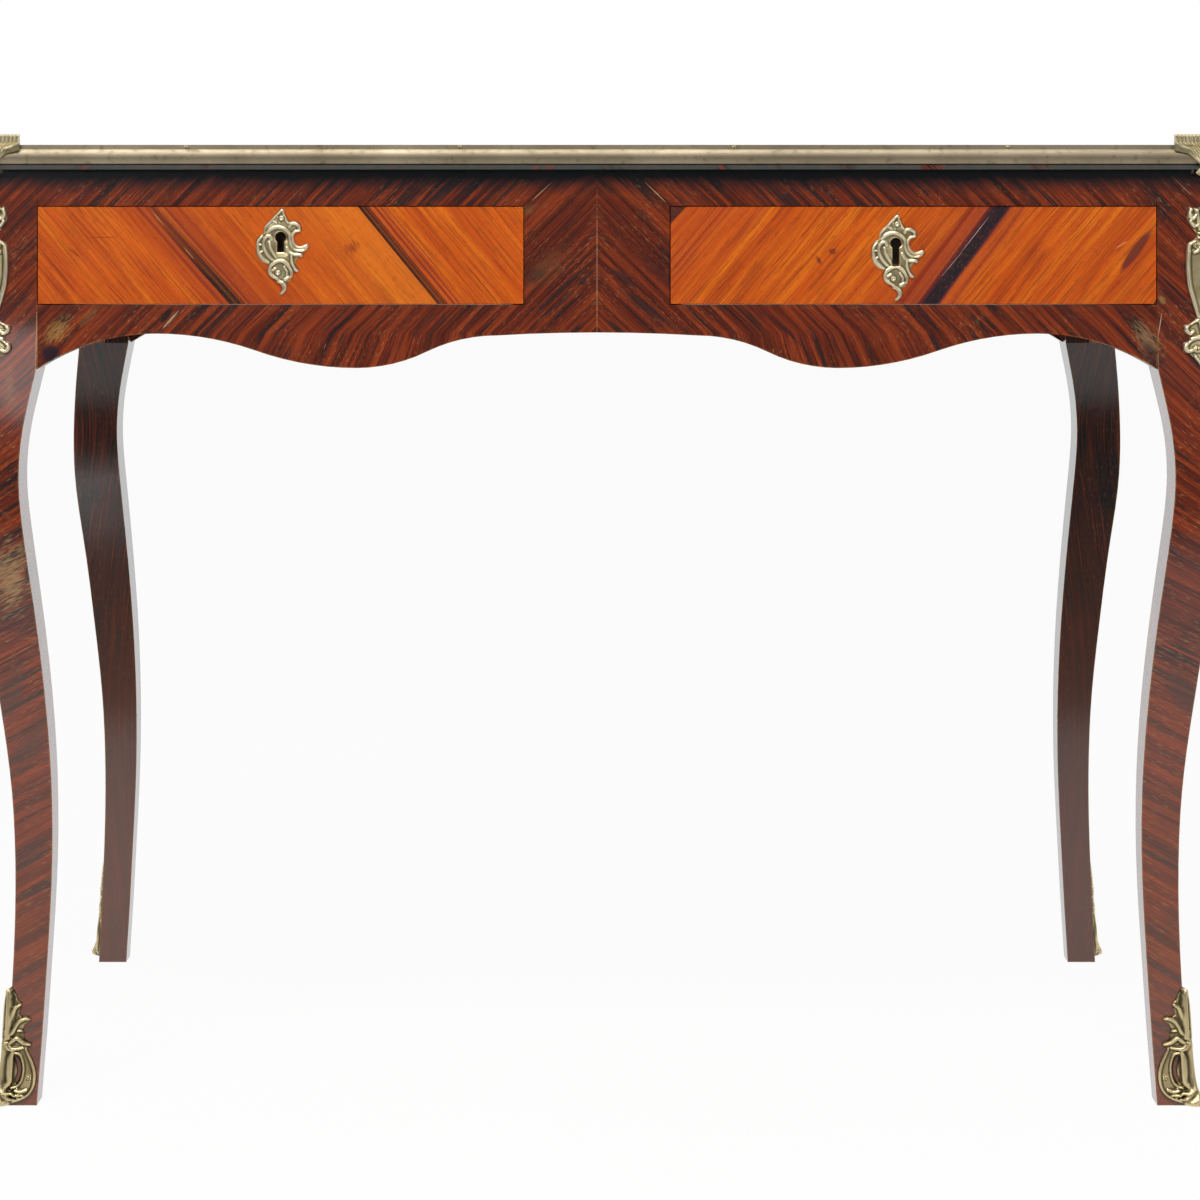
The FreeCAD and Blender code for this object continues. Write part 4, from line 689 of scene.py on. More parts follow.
plate = {
    "step": 0.35, "round": 0.9, "keep": 0.5, "ground": 0.8, "crown": 0.5, "crownReach": 4,
    "keyRadius": 4.5, "keyWidth": 5.4, "slotDrop": {"left": 12, "right": 18},
    "openingRise": 3.5,     # top of the key's room over the keyhole's middle
    "bowSteps": 40, "sideSteps": 24, "footSteps": 12,
    "outline": [
        (1.6, 23.6), (3.9, 19.6), (5.6, 15.0), (8.2, 12.8), (12.4, 12.8), (15.2, 11.4), (16.8, 7.8),
        (16.6, 5.0), (12.6, 3.4), (11.0, 0.6), (11.2, -2.7), (13.4, -5.8), (16.2, -7.0), (18.9, -5.6),
        (21.7, -4.9), (22.9, -7.0), (21.3, -9.9), (18.2, -12.0), (18.2, -13.2), (17.2, -15.8),
        (13.8, -16.4), (11.9, -18.9), (12.2, -22.0), (14.6, -25.0), (14.8, -27.2), (12.8, -28.0),
        (10.6, -27.4), (9.6, -31.4), (7.4, -34.4), (5.3, -35.8), (5.3, -39.4), (4.2, -42.9),
        (2.0, -45.4), (-0.3, -45.8), (-1.0, -44.4), (0.6, -42.0), (0.8, -39.0), (-0.6, -37.2),
        (-2.8, -36.4), (-3.8, -34.2), (-7.6, -32.4), (-10.2, -29.0), (-10.7, -25.3), (-10.0, -22.0),
        (-14.3, -19.8), (-18.0, -15.8), (-19.6, -11.0), (-19.9, -6.0), (-19.0, -1.4), (-16.4, 1.6),
        (-13.5, 3.4), (-13.6, 6.8), (-11.8, 10.4), (-8.0, 14.2), (-4.6, 18.4), (-1.0, 22.0)],
    "rims": [   # across, up, half width, height
        [(-13.2, 3.4, 1.3, 1.9), (-12.0, 8.2, 1.3, 2.0), (-7.6, 12.8, 1.3, 2.1), (-3.8, 17.2, 1.3, 2.2),
         (1.3, 21.8, 1.3, 2.3), (2.6, 18.6, 1.2, 2.2), (4.6, 13.8, 1.3, 2.1), (6.4, 11.6, 1.2, 2.0)],
        [(-11.2, 3.0, 1.4, 2.0), (-8.2, 6.4, 1.7, 2.3), (-3.6, 8.3, 1.9, 2.5), (0.4, 8.0, 1.9, 2.7),
         (4.2, 6.0, 1.8, 2.6), (7.0, 2.6, 1.6, 2.4), (7.4, -2.2, 1.5, 2.3), (9.0, -7.0, 1.5, 2.3),
         (12.6, -10.2, 1.6, 2.3), (17.2, -10.7, 1.5, 2.2), (20.6, -9.2, 1.3, 2.0)],
        [(7.0, 8.8, 1.6, 2.2), (8.6, 10.8, 1.8, 2.4), (11.6, 11.0, 1.8, 2.5), (14.4, 9.2, 1.7, 2.5),
         (14.8, 6.8, 1.6, 2.5)],
        [(15.0, 4.9, 1.4, 2.3), (12.0, 4.7, 1.6, 2.4), (9.9, 2.4, 1.6, 2.5), (9.4, -0.8, 1.6, 2.6),
         (10.8, -5.0, 1.7, 2.6), (14.0, -7.8, 1.8, 2.7), (18.0, -7.8, 2.0, 2.8), (20.8, -7.0, 2.1, 2.9)],
        [(4.8, -8.6, 1.3, 1.9), (7.4, -12.0, 1.5, 2.1), (10.8, -13.7, 1.6, 2.3), (15.4, -13.9, 1.7, 2.5),
         (16.6, -14.8, 1.5, 2.4)],
        [(8.6, -14.6, 1.3, 2.0), (8.7, -18.4, 1.5, 2.2), (9.6, -22.0, 1.6, 2.4), (12.0, -25.8, 1.7, 2.6),
         (13.4, -26.6, 1.5, 2.5)],
        [(-15.2, 0.2, 1.5, 2.0), (-17.8, -3.6, 1.7, 2.3), (-18.0, -9.2, 1.7, 2.4), (-16.0, -14.4, 1.7, 2.4),
         (-12.6, -18.0, 1.6, 2.3), (-9.6, -20.0, 1.4, 2.1)],
        [(-7.2, -1.4, 1.7, 2.5), (-8.4, 0.9, 1.8, 2.7), (-11.4, 0.5, 1.7, 2.7), (-13.6, -2.8, 1.6, 2.6),
         (-13.6, -7.4, 1.6, 2.5), (-11.2, -12.6, 1.6, 2.5), (-7.8, -16.6, 1.5, 2.4),
         (-5.4, -18.6, 1.3, 2.2)],
        [(-9.0, -4.0, 1.3, 2.0), (-8.4, -8.0, 1.5, 2.2), (-5.8, -12.8, 1.5, 2.2), (-3.2, -16.8, 1.3, 2.1)],
        [(8.2, -31.4, 1.5, 2.4), (8.6, -27.4, 1.8, 2.6), (6.2, -22.6, 1.9, 2.7), (2.4, -19.0, 1.9, 2.8),
         (-1.6, -18.7, 1.9, 2.8), (-5.8, -20.8, 1.9, 2.7), (-8.4, -24.0, 1.8, 2.6), (-8.5, -28.0, 1.8, 2.6),
         (-6.0, -31.0, 1.7, 2.5), (-3.0, -32.8, 1.6, 2.4), (-0.6, -35.2, 1.4, 2.3)],
        [(5.0, -31.2, 1.2, 2.2), (5.6, -27.6, 1.3, 2.3), (3.2, -23.8, 1.3, 2.3)],
        [(-6.6, -26.4, 1.2, 2.0), (-4.4, -25.0, 1.4, 2.1)],
        [(3.6, -33.6, 1.8, 2.6), (6.0, -32.0, 1.6, 2.5)],
        [(-1.6, -35.2, 1.6, 2.3), (1.6, -36.6, 2.2, 2.5), (3.1, -39.4, 2.2, 2.5), (2.7, -42.2, 1.8, 2.4),
         (0.6, -44.6, 1.1, 1.9)]],
    "flutes": [(-3.0, 11.0, -6.4, 13.4), (-0.6, 11.4, -2.2, 16.0), (-15.6, -6.0, -18.4, -5.8),
               (-14.6, -11.2, -17.0, -12.4)], "fluteWidth": 0.9, "fluteHeight": 2.0,
    "pins": [(0.8, 15.2), (-2.0, -28.4)], "pinRadius": 2.1, "pinHeight": 2.9, "pinDome": 0.5, "pinRing": 0.5,
    "dimple": 0.9, "dimpleRadius": 0.7,
}


def plateHeight(a, b, edgeGap):
    # a low crown with raised lines and flutes, and domed pin heads with a dimple in a sunk ring
    top = plate["ground"] + plate["crown"] * np.clip(edgeGap / plate["crownReach"], 0, 1)
    top = drawRidges(a, b, plate["rims"], top)
    section = (plate["fluteWidth"], plate["fluteHeight"])
    flutes = [[(x1, z1, *section), (x2, z2, *section)] for x1, z1, x2, z2 in plate["flutes"]]
    top = drawRidges(a, b, flutes, top)
    radius = plate["pinRadius"]
    for x, z in plate["pins"]:
        gap = np.hypot(a - x, b - z)
        dimple = plate["dimple"] * np.exp(-(gap / plate["dimpleRadius"]) ** 2)
        dome = plate["pinHeight"] - dimple - plate["pinDome"] * (gap / radius) ** 2
        top = np.where(gap < radius + plate["pinRing"], plate["ground"], top)
        top = np.where(gap < radius, dome, top)
    return top


def keyholeRim(drop):
    # round of the keyhole, and its slot below
    radius, half = plate["keyRadius"], plate["keyWidth"] / 2
    start = math.asin(half / radius)
    angle = np.linspace(-math.pi / 2 + start, 1.5 * math.pi - start, plate["bowSteps"])
    bow = np.stack([radius * np.cos(angle), radius * np.sin(angle)], -1)
    down = np.linspace(bow[-1, 1], -drop, plate["sideSteps"])[1:]
    across = np.linspace(-half, half, plate["footSteps"])[1:-1]
    left = np.stack([np.full(down.size, -half), down], -1)
    foot = np.stack([across, np.full(across.size, -drop)], -1)
    right = np.stack([np.full(down.size, half), down[::-1]], -1)
    return np.concatenate([bow, left, foot, right])


def makeEscutcheon(hand):
    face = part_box(f"{hand}_escutcheon")[1].y
    openings = frame["record"]["physics"]["openings"]
    low, high = next(opening["box_m"] for opening in openings if opening["name"] == f"{hand}_keyhole")
    middle = (low[0] + high[0]) / 2
    level = high[2] - plate["openingRise"] * mm

    def seat(a, b, h):
        return np.stack([middle + a * mm, face - h * mm, level + b * mm], -1)

    outline = smoothLine(plate["outline"], closed=True, steps=8)
    keyhole = keyholeRim(plate["slotDrop"][hand])
    shell = reliefShell(outline, [keyhole], plate, plateHeight, seat)
    piece = meshPiece(f"{hand}_escutcheon_casting", *shell, gildedBronze, "gilt_bronze", f"{hand}_drawer")
    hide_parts(f"{hand}_escutcheon")


for hand in ("left", "right"):
    makeEscutcheon(hand)
print("escutcheons")


# knee mounts and sabots wrap the outer arris of a leg: a runs from the front face round to the side face

leg = {
    "halfWidth": 489, "halfLength": 289, "block": 42, "spring": 591, "sink": 0.3,
    # rows: height as a share of the leg, and how far its outer faces stand outside the frame, as a share of
    # its block
    "outer": [(1.30, 0.0), (1.10, 0.0), (1.00, 0.110), (0.922, 0.235), (0.850, 0.286), (0.782, 0.245),
              (0.663, -0.020), (0.555, -0.240), (0.432, -0.440), (0.330, -0.505), (0.205, -0.480),
              (0.100, -0.405), (0.000, -0.325)],
}


def legReach(z):
    # how far the leg's outer faces stand out from the frame's corner at a height
    line = smoothLine(leg["outer"], steps=20)[::-1]
    return np.interp(z, line[:, 0] * leg["spring"], line[:, 1] * leg["block"])


def cornerSeat(cover):
    # on the front face for a < -cover, on the side face for a > cover, and fanned round the arris between
    def seat(a, b, h):
        reach = legReach(b)
        turn = math.pi / 4 * (1 + np.clip(a / cover, -1, 1))
        out = np.where(h > 0, h, -leg["sink"])
        x = leg["halfWidth"] + reach + np.minimum(a, 0) + out * np.sin(turn)
        y = leg["halfLength"] + reach - np.maximum(a, 0) + out * np.cos(turn)
        return np.stack([x, -y, b], -1) * mm
    return seat


def bothFaces(edge):
    # an outline drawn from the top down on one face, with its mirror image on the other
    line = smoothLine(edge)
    return np.concatenate([line * (-1, 1), line[::-1]])


knee = {
    "head": 721.2, "step": 0.5, "round": 1.3, "keep": 0.4, "cover": 3.2, "ground": 1.2, "tallest": 4.5,
    "startFall": 1.0, "tipFall": 213.6,     # on the arris, down from the head
    # inner edge from the top down: in from the frame's corner, down from the head
    "edge": [(4.0, 0.0), (11.0, 1.2), (16.8, 0.2), (18.6, 5.0), (17.6, 12.4), (13.2, 18.6), (10.6, 22.6),
             (12.6, 26.4), (18.2, 30.4), (19.6, 39.0), (19.8, 51.0), (18.6, 63.0), (16.0, 73.0), (13.0, 83.0),
             (11.6, 89.4), (15.6, 93.2), (21.4, 95.6), (21.6, 100.2), (17.8, 103.4), (17.0, 107.0),
             (21.8, 109.4), (22.6, 113.6), (20.4, 117.2), (15.8, 118.4), (13.0, 121.8), (8.4, 129.0),
             (2.4, 150.0), (-3.6, 172.0), (-8.4, 195.0), (-11.4, 213.0)],
    "rims": [   # in from the frame's corner, down, half width, height
        [(16.8, 29.6, 2.2, 3.8), (17.4, 39, 2.4, 4.1), (17.4, 51, 2.5, 4.2), (16.2, 63, 2.4, 4.2),
         (13.6, 73, 2.4, 4.1), (10.8, 83, 2.2, 3.9), (8.2, 92, 2.0, 3.6), (5.6, 104, 1.8, 3.3),
         (2.8, 118, 1.6, 2.9), (0.2, 132, 1.4, 2.5)],
        [(16.4, 30.2, 2.0, 4.0), (13.2, 28.2, 2.0, 4.3), (9.6, 30.2, 2.0, 4.4), (9.4, 34.8, 1.9, 4.3),
         (12.6, 36.6, 1.6, 4.0)],
        [(7.4, 91, 1.8, 3.3), (12.8, 91.4, 2.2, 3.9), (17.6, 94.0, 2.4, 4.3), (19.2, 98.0, 2.4, 4.4),
         (16.8, 101.2, 2.2, 4.4), (13.8, 99.8, 1.8, 4.2)],
        [(6.4, 104.6, 1.8, 3.1), (12.0, 104.8, 2.2, 3.8), (17.6, 107.6, 2.5, 4.2), (20.0, 111.6, 2.6, 4.4),
         (18.0, 115.2, 2.4, 4.4), (14.6, 114.6, 2.0, 4.2)],
        [(12.2, 119.8, 1.6, 3.0), (7.0, 128, 1.6, 2.9), (1.0, 150, 1.4, 2.6), (-5.0, 172, 1.2, 2.3),
         (-9.6, 195, 1.0, 2.0), (-11.8, 209, 0.8, 1.8)],
        [(15.4, 2.4, 2.0, 3.6), (16.2, 6.6, 2.1, 4.0), (13.6, 9.8, 1.9, 4.0), (11.4, 7.2, 1.6, 3.8)],
        [(15.6, 11.8, 1.8, 3.6), (13.0, 15.6, 1.9, 3.9), (10.2, 15.2, 1.6, 3.8)],
        [(9.4, 21.2, 1.3, 3.3), (4.0, 21.8, 1.4, 3.7), (-2.0, 22.0, 1.4, 3.9)],
        [(9.4, 25.0, 1.3, 3.3), (4.0, 25.4, 1.4, 3.7), (-2.0, 25.6, 1.4, 3.9)]],
    # rows: from and to (in, down), half width, height
    "palmette": [(10.6, 3.4, 8.0, 18.0, 2.4, 3.7), (5.8, 1.8, 4.6, 18.8, 2.4, 4.0),
                 (1.2, 1.0, 1.0, 19.2, 2.2, 4.3)], "palmetteTaper": 0.7,
    # rows: down, half width, height
    "boss": [(36, 2.6, 3.0), (44, 5.2, 4.2), (58, 6.0, 4.4), (72, 5.0, 4.3), (86, 3.4, 3.8), (98, 1.8, 3.0)],
    "midrib": [(100, 1.8, 3.4), (120, 2.0, 3.6), (150, 1.8, 3.2), (180, 1.4, 2.7), (211, 0.9, 2.0)],
    "veins": {"first": 124, "last": 200, "count": 9, "reach": (9.0, 2.0), "rise": 9, "section": (1.1, 2.1)},
    "crease": {"width": 0.8, "depth": 0.9, "fade": (30, 36)},
    "pins": [(10.6, 31.0), (10.6, 114.0)], "seatRadius": 2.9, "seatHeight": 2.8,
}


def kneeHeight(a, b, edgeGap):
    # ridges on the ground: a leaf's veins, a palmette at the head, the rims, and a boss and midrib along the
    # arris; a crease parts the palmette, and flat seats take the pins
    inwards = np.abs(a) - legReach(b)
    down = knee["head"] - b
    veins = knee["veins"]
    strokes = []
    for start in np.linspace(veins["first"], veins["last"], veins["count"]):
        reach = float(np.interp(start, [veins["first"], veins["last"]], veins["reach"]))
        arris = -float(legReach(knee["head"] - start))
        strokes.append([(arris, start, *veins["section"]),
                        (arris + reach, start - veins["rise"], *veins["section"])])
    for x1, z1, x2, z2, width, height in knee["palmette"]:
        strokes.append([(x1, z1, width, height), (x2, z2, width * knee["palmetteTaper"], height)])
    top = np.full(a.shape, float(knee["ground"]))
    top = drawRidges(inwards, down, strokes + knee["rims"], top)
    for part in ("boss", "midrib"):
        line = [(0, level, width, height) for level, width, height in knee[part]]
        top = drawRidges(np.abs(a), down, [line], top)
    crease = knee["crease"]
    depth = np.interp(down, crease["fade"], [crease["depth"], 0])
    top = top - np.exp(-(a / crease["width"]) ** 2) * depth
    for x, z in knee["pins"]:
        top = np.where(np.hypot(inwards - x, down - z) < knee["seatRadius"], knee["seatHeight"], top)
    return np.minimum(top, knee["tallest"])


kneeEdge = [(0.0, knee["head"] - knee["startFall"])]
for reach, fall in knee["edge"]:
    level = knee["head"] - fall
    kneeEdge.append((reach + float(legReach(level)), level))
kneeEdge.append((0.0, knee["head"] - knee["tipFall"]))
kneeShell = reliefShell(bothFaces(kneeEdge), [], knee, kneeHeight, cornerSeat(knee["cover"]))
atFourCorners("knee_casting", "knee_mount", gildedBronze, "gilt_bronze", *kneeShell)
print("knee mounts")


sabot = {
    "step": 0.45, "round": 1.4, "keep": 0.4, "cover": 5.0, "ground": 2.0, "crown": 0.8, "crownReach": 5,
    # inner edge from the top down: in from the leg's arris, height
    "edge": [(0.0, 94.2), (1.9, 92.0), (4.4, 88.0), (6.0, 84.0), (9.4, 81.0), (8.4, 77.0), (7.6, 73.2),
             (10.0, 71.0), (14.6, 71.0), (17.6, 68.8), (15.8, 66.2), (12.8, 64.4), (11.6, 61.0), (12.2, 57.4),
             (13.2, 53.4), (15.6, 51.0), (18.8, 49.8), (18.6, 46.8), (15.8, 45.2), (18.2, 40.6), (21.4, 34.6),
             (23.6, 28.0), (24.4, 21.4), (23.6, 14.0), (20.4, 7.8), (14.4, 3.8), (6.6, 1.6), (0.0, 0.3)],
    "slot": [(6.2, 38.6), (8.6, 38.0), (11.0, 33.6), (11.8, 27.6), (10.6, 21.4), (8.2, 18.2), (7.4, 20.4),
             (8.8, 25.0), (8.8, 29.8), (7.6, 34.4)],
    "rims": [   # in from the arris, height above the floor, half width, height
        [(14.6, 45.6, 1.5, 3.6), (17.0, 40.8, 1.7, 3.9), (20.0, 34.6, 1.7, 4.0), (22.2, 28.0, 1.6, 4.0),
         (22.8, 21.4, 1.6, 3.9), (21.6, 14.6, 1.6, 3.9), (18.2, 9.2, 1.6, 3.9), (12.6, 5.8, 1.6, 4.1),
         (6.0, 3.8, 1.4, 4.4)],
        [(6.4, 42.4, 1.8, 4.6), (10.6, 40.6, 1.7, 4.2), (13.2, 34.4, 1.5, 4.0), (13.9, 27.6, 1.4, 3.9),
         (12.6, 20.4, 1.5, 4.0), (9.4, 16.0, 1.7, 4.4), (5.4, 14.8, 1.8, 5.4)],
        [(4.6, 43.0, 2.0, 5.2), (3.6, 38.6, 2.4, 5.8), (3.6, 29.0, 2.6, 6.2), (3.6, 20.6, 2.4, 6.4),
         (1.6, 14.8, 2.4, 7.4)],
        [(1.6, 54, 2.2, 6.2), (1.2, 72, 2.2, 6.4), (0.8, 84, 1.9, 6.2), (0.5, 92.2, 1.4, 5.4)],
        [(2.2, 68, 1.9, 5.0), (4.0, 77, 2.2, 4.8), (8.4, 80.4, 1.6, 3.8)],
        [(3.0, 57, 2.0, 5.0), (6.6, 65.6, 2.6, 4.8), (11.6, 68.8, 2.4, 4.4), (16.4, 68.8, 1.4, 3.6)],
        [(2.4, 50, 2.2, 5.4), (6.6, 53.6, 2.6, 4.9), (12.4, 50.0, 2.4, 4.4), (17.8, 48.6, 1.5, 3.6)],
        [(7.4, 59.6, 1.6, 4.2), (11.2, 59.4, 1.2, 3.6)],
        [(0.8, 50, 2.6, 6.4), (3.0, 45.6, 3.0, 5.8), (7.4, 45.4, 2.2, 4.8), (12.4, 46.2, 1.6, 4.0)],
        [(17.0, 12.6, 2.2, 3.9), (12.2, 11.4, 2.3, 5.0), (8.0, 12.4, 2.0, 5.4)],
        [(12.8, 8.6, 2.0, 4.4), (7.8, 9.0, 2.2, 6.0), (3.8, 10.8, 2.2, 8.0)],
        [(7.2, 5.4, 1.9, 5.2), (3.6, 6.8, 2.2, 8.4), (0.6, 9.6, 2.5, 10.4)]],
    # the toe along the arris: height, half width, how far it stands out
    "toe": [(0.6, 4.8, 13.0), (4.0, 5.4, 13.2), (9.0, 4.8, 11.4), (14.0, 4.0, 9.2), (22.0, 3.4, 7.6),
            (34.0, 3.0, 6.8), (46.0, 2.8, 6.5), (60.0, 2.4, 6.4)],
    "ripple": {"foot": 3.0, "head": 15.0, "fade": 3, "reach": 10, "reachFade": 6, "pitch": 3.6, "slant": 0.4,
               "depth": 0.8},
    "crease": {"width": 0.7, "depth": 0.9, "levels": (50, 56, 86, 90)},
    "beads": [(14.0, 8.6), (10.4, 6.4), (7.0, 9.8), (4.4, 12.6), (9.6, 13.8)], "beadSection": (1.7, 4.6),
    "pins": [(18.8, 22.0)], "seatRadius": 2.4, "seatHeight": 2.4,
}


def sabotHeight(a, b, edgeGap):
    # a crowned plate with scrolls, leaf tips and beads, and a toe that swells along the arris; the foot
    # ripples as a cosine across a slanting line, a crease parts the leaf, and a flat seat takes the pin
    inwards = np.abs(a)
    top = sabot["ground"] + sabot["crown"] * np.clip(edgeGap / sabot["crownReach"], 0, 1)
    toe = [(0, level, width, height) for level, width, height in sabot["toe"]]
    beads = [[(x, z, *sabot["beadSection"])] for x, z in sabot["beads"]]
    top = drawRidges(inwards, b, [toe, *sabot["rims"], *beads], top)
    ripple = sabot["ripple"]
    band = np.clip((b - ripple["foot"]) / ripple["fade"], 0, 1)
    band = band * np.clip((ripple["head"] - b) / ripple["fade"], 0, 1)
    band = band * np.clip((ripple["reach"] - inwards) / ripple["reachFade"], 0, 1)
    wave = np.cos(2 * math.pi * (inwards + ripple["slant"] * b) / ripple["pitch"])
    top = top + band * ripple["depth"] * wave
    crease = sabot["crease"]
    depth = crease["depth"] * np.interp(b, crease["levels"], [0, 1, 1, 0])
    top = top - depth * np.exp(-(a / crease["width"]) ** 2)
    for x, z in sabot["pins"]:
        top = np.where(np.hypot(inwards - x, b - z) < sabot["seatRadius"], sabot["seatHeight"], top)
    return top


slotRim = smoothLine(sabot["slot"], closed=True, steps=6)
slotRims = [slotRim, slotRim * (-1, 1)]
sabotShell = reliefShell(bothFaces(sabot["edge"]), slotRims, sabot, sabotHeight, cornerSeat(sabot["cover"]))
atFourCorners("sabot_casting", "sabot", rubbedBronze, "worn_bronze", *sabotShell)
print("sabots")


# corner clasps: fluted shells that grip the top's corners, with a round cut out of their upper face

clasp = {
    "reach": 44.5, "wall": 2.2, "corner": 4.0, "cutRadius": 39.5,
    "top": 778.6, "tableTop": 770.05, "foot": 744.0, "innerFoot": 744.4,
    "flutePitch": 3.1, "fluteDepth": 0.8, "armFade": 0.05,       # the flutes end in this last share of an arm
    "crownDip": 1.6, "crownShare": 0.8, "crownMiddle": 0.9,
    "tuckFrom": 754, "tuck": 11.5,      # below the moulding the lip curls in towards the frame
    # rows: height, how far the face reaches from the corner there
    "outline": [(744.0, 20.0), (747.6, 27.6), (754.1, 22.4), (759.6, 26.4), (767.7, 33.4), (771.0, 44.5),
                (778.6, 44.5)],
    "acrossSteps": 260, "topSteps": 10, "faceSteps": 26,
    "shadeFrom": 0.6,        # a flute gets painted shade and dirt where it is deeper than this share, and a painted highlight where shallower
}


def pairShell(front, back):
    # closed shell from two sheets of the same grid, the second under the first, with walls round their rims
    rows, columns = front.shape[:2]
    number = np.arange(rows * columns).reshape(rows, columns)
    sheet = np.stack([number[:-1, :-1], number[:-1, 1:], number[1:, 1:], number[1:, :-1]], -1)
    sheet = sheet.reshape(-1, 4)
    rim = np.concatenate([number[0, :-1], number[:-1, -1], number[-1, :0:-1], number[:0:-1, 0]])
    onward = np.roll(rim, -1)
    count = number.size
    walls = np.stack([onward, rim, rim + count, onward + count], -1)
    faces = np.concatenate([sheet, sheet[:, ::-1] + count, walls])
    return np.concatenate([front.reshape(-1, 3), back.reshape(-1, 3)]), faces


def claspSheets():
    # u runs round the corner from arm to arm; the other way runs from the round cut out over the top and down
    # the face; the flutes are depth * (1 - cos(2 pi u reach / pitch)) / 2 deep
    low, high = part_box("front_right_clasp")
    wide, long = high.x / mm, -low.y / mm
    outline = np.array(clasp["outline"])
    u = np.linspace(-1, 1, clasp["acrossSteps"])[:, None]
    share = np.linspace(0, 1, clasp["topSteps"])[None, :]
    level = np.linspace(clasp["top"] - clasp["crownDip"], clasp["foot"], clasp["faceSteps"])[None, :]
    flute = (1 - np.cos(2 * math.pi * u * clasp["reach"] / clasp["flutePitch"])) / 2
    flute = flute * np.clip((1 - np.abs(u)) / clasp["armFade"], 0, 1)

    def along(reach, inset):
        # a spot on the squared outer path, rounded at the corner, and set inwards
        s = u * reach
        turn = math.pi / 4 * (1 + np.clip(s / clasp["corner"], -1, 1))
        bend = np.maximum(clasp["corner"] - inset, 0)
        x, y = wide - inset - bend, long - inset - bend
        x = np.where(s < -clasp["corner"], np.minimum(wide + s, x), x + bend * np.sin(turn))
        y = np.where(s > clasp["corner"], np.minimum(long - s, y), y + bend * np.cos(turn))
        return x, y

    turn = math.pi / 4 * (1 + u)
    cutX = wide - clasp["reach"] + clasp["cutRadius"] * np.sin(turn)
    cutY = long - clasp["reach"] + clasp["cutRadius"] * np.cos(turn)
    crown = clasp["top"] - clasp["crownDip"] * (2 * share - clasp["crownMiddle"]) ** 2 * clasp["crownShare"]
    reach = np.interp(level, outline[:, 0], outline[:, 1])
    fall = np.clip((clasp["tuckFrom"] - level) / (clasp["tuckFrom"] - clasp["foot"]), 0, 1)
    tuck = clasp["tuck"] * fall ** 2
    innerLevel = np.linspace(clasp["tableTop"], clasp["innerFoot"], clasp["faceSteps"])[None, :]

    def sheet(inset, depth, topZ, faceZ):
        edgeX, edgeY = along(clasp["reach"], inset)
        faceX, faceY = along(reach, inset + tuck + depth)
        x = np.concatenate([cutX + (edgeX - cutX) * share, faceX], 1)
        y = np.concatenate([cutY + (edgeY - cutY) * share, faceY], 1)
        z = np.concatenate([topZ, faceZ + 0 * u], 1)
        return np.stack([x, -y, z], -1) * mm

    depth = clasp["fluteDepth"] * flute
    outer = sheet(0.0, depth, crown - depth * share, level)
    inner = sheet(clasp["wall"], 0.0, clasp["tableTop"] + 0 * u * share, innerLevel)
    return outer, inner, flute


outerSheet, innerSheet, flute = claspSheets()
spots, faces = pairShell(outerSheet, innerSheet)
# deep flutes get painted shade with dirt, and their high parts a painted highlight
shadingAndDirt = np.tile(flute - clasp["shadeFrom"], (1, outerSheet.shape[1])).ravel()
shadingAndDirt = np.concatenate([shadingAndDirt, np.ones(shadingAndDirt.size)])
atFourCorners("clasp_casting", "clasp", gildedBronze, "gilt_bronze", spots, faces, shadingAndDirt)
print("clasps")


# heads of the pins that hold the mounts and the brass edging

head = {
    "rings": 6, "sides": 18, "shank": 4.0, "slotWidth": 0.8, "slotDepth": 0.5,
    # the slot gets painted shade with dirt, and the dome a painted highlight
    "slotShade": 1.0, "domeHighlight": -0.8,
    "mount": {"radius": 2.2, "height": 1.3, "sunk": 0.4},
    "edging": {"radius": 1.7, "height": 0.9, "level": 768.2, "out": 297.5, "side": 497.5,
               "along": (-327, -109, 109, 327), "ends": (-218, 0, 218)},
}


def slottedHeads(name, node, seats, look, slot):
    # domes of height h * cos(t) and radius r * sin(t), t from 0 to a right angle, with a slot and a shank
    t = np.linspace(0, math.pi / 2, head["rings"])
    angle = np.linspace(0, 2 * math.pi, head["sides"], endpoint=False)
    radius = np.append(look["radius"] * np.sin(t), look["radius"])
    side = radius[:, None] * np.cos(angle)
    up = radius[:, None] * np.sin(angle)
    out = np.append(look["height"] * np.cos(t), -head["shank"])[:, None] + 0 * side
    cut = (np.abs(side) < head["slotWidth"] / 2) & (out > 0)
    out = out - cut * head["slotDepth"]
    sides = head["sides"]
    count = radius.size * sides
    number = np.arange(count).reshape(-1, sides)
    onward = np.roll(number, -1, 1)
    rings = np.stack([number[:-1], number[1:], onward[1:], onward[:-1]], -1).reshape(-1, 4)
    lid = np.arange(count - sides, count)
    half = np.arange(sides // 2 - 1)
    lids = np.stack([lid[half], lid[sides - 1 - half], lid[sides - 2 - half], lid[half + 1]], -1)
    spots, faces = [], []
    for place, facing in seats:
        facing = np.array(facing, float)
        sideways = np.cross((0, 0, 1), facing)
        spot = side[..., None] * sideways + up[..., None] * (0, 0, 1) + out[..., None] * facing
        faces.append(np.concatenate([rings, lids]) + count * len(spots))
        spots.append((spot + place).reshape(-1, 3) * mm)
    # painted shade in the slot, and a painted highlight on the dome
    shadingAndDirt = np.tile(np.where(cut, head["slotShade"], head["domeHighlight"]).ravel(), len(spots))
    piece = meshPiece(name, np.concatenate(spots), np.concatenate(faces), shadingAndDirt, rubbedBronze, slot)
    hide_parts(node)


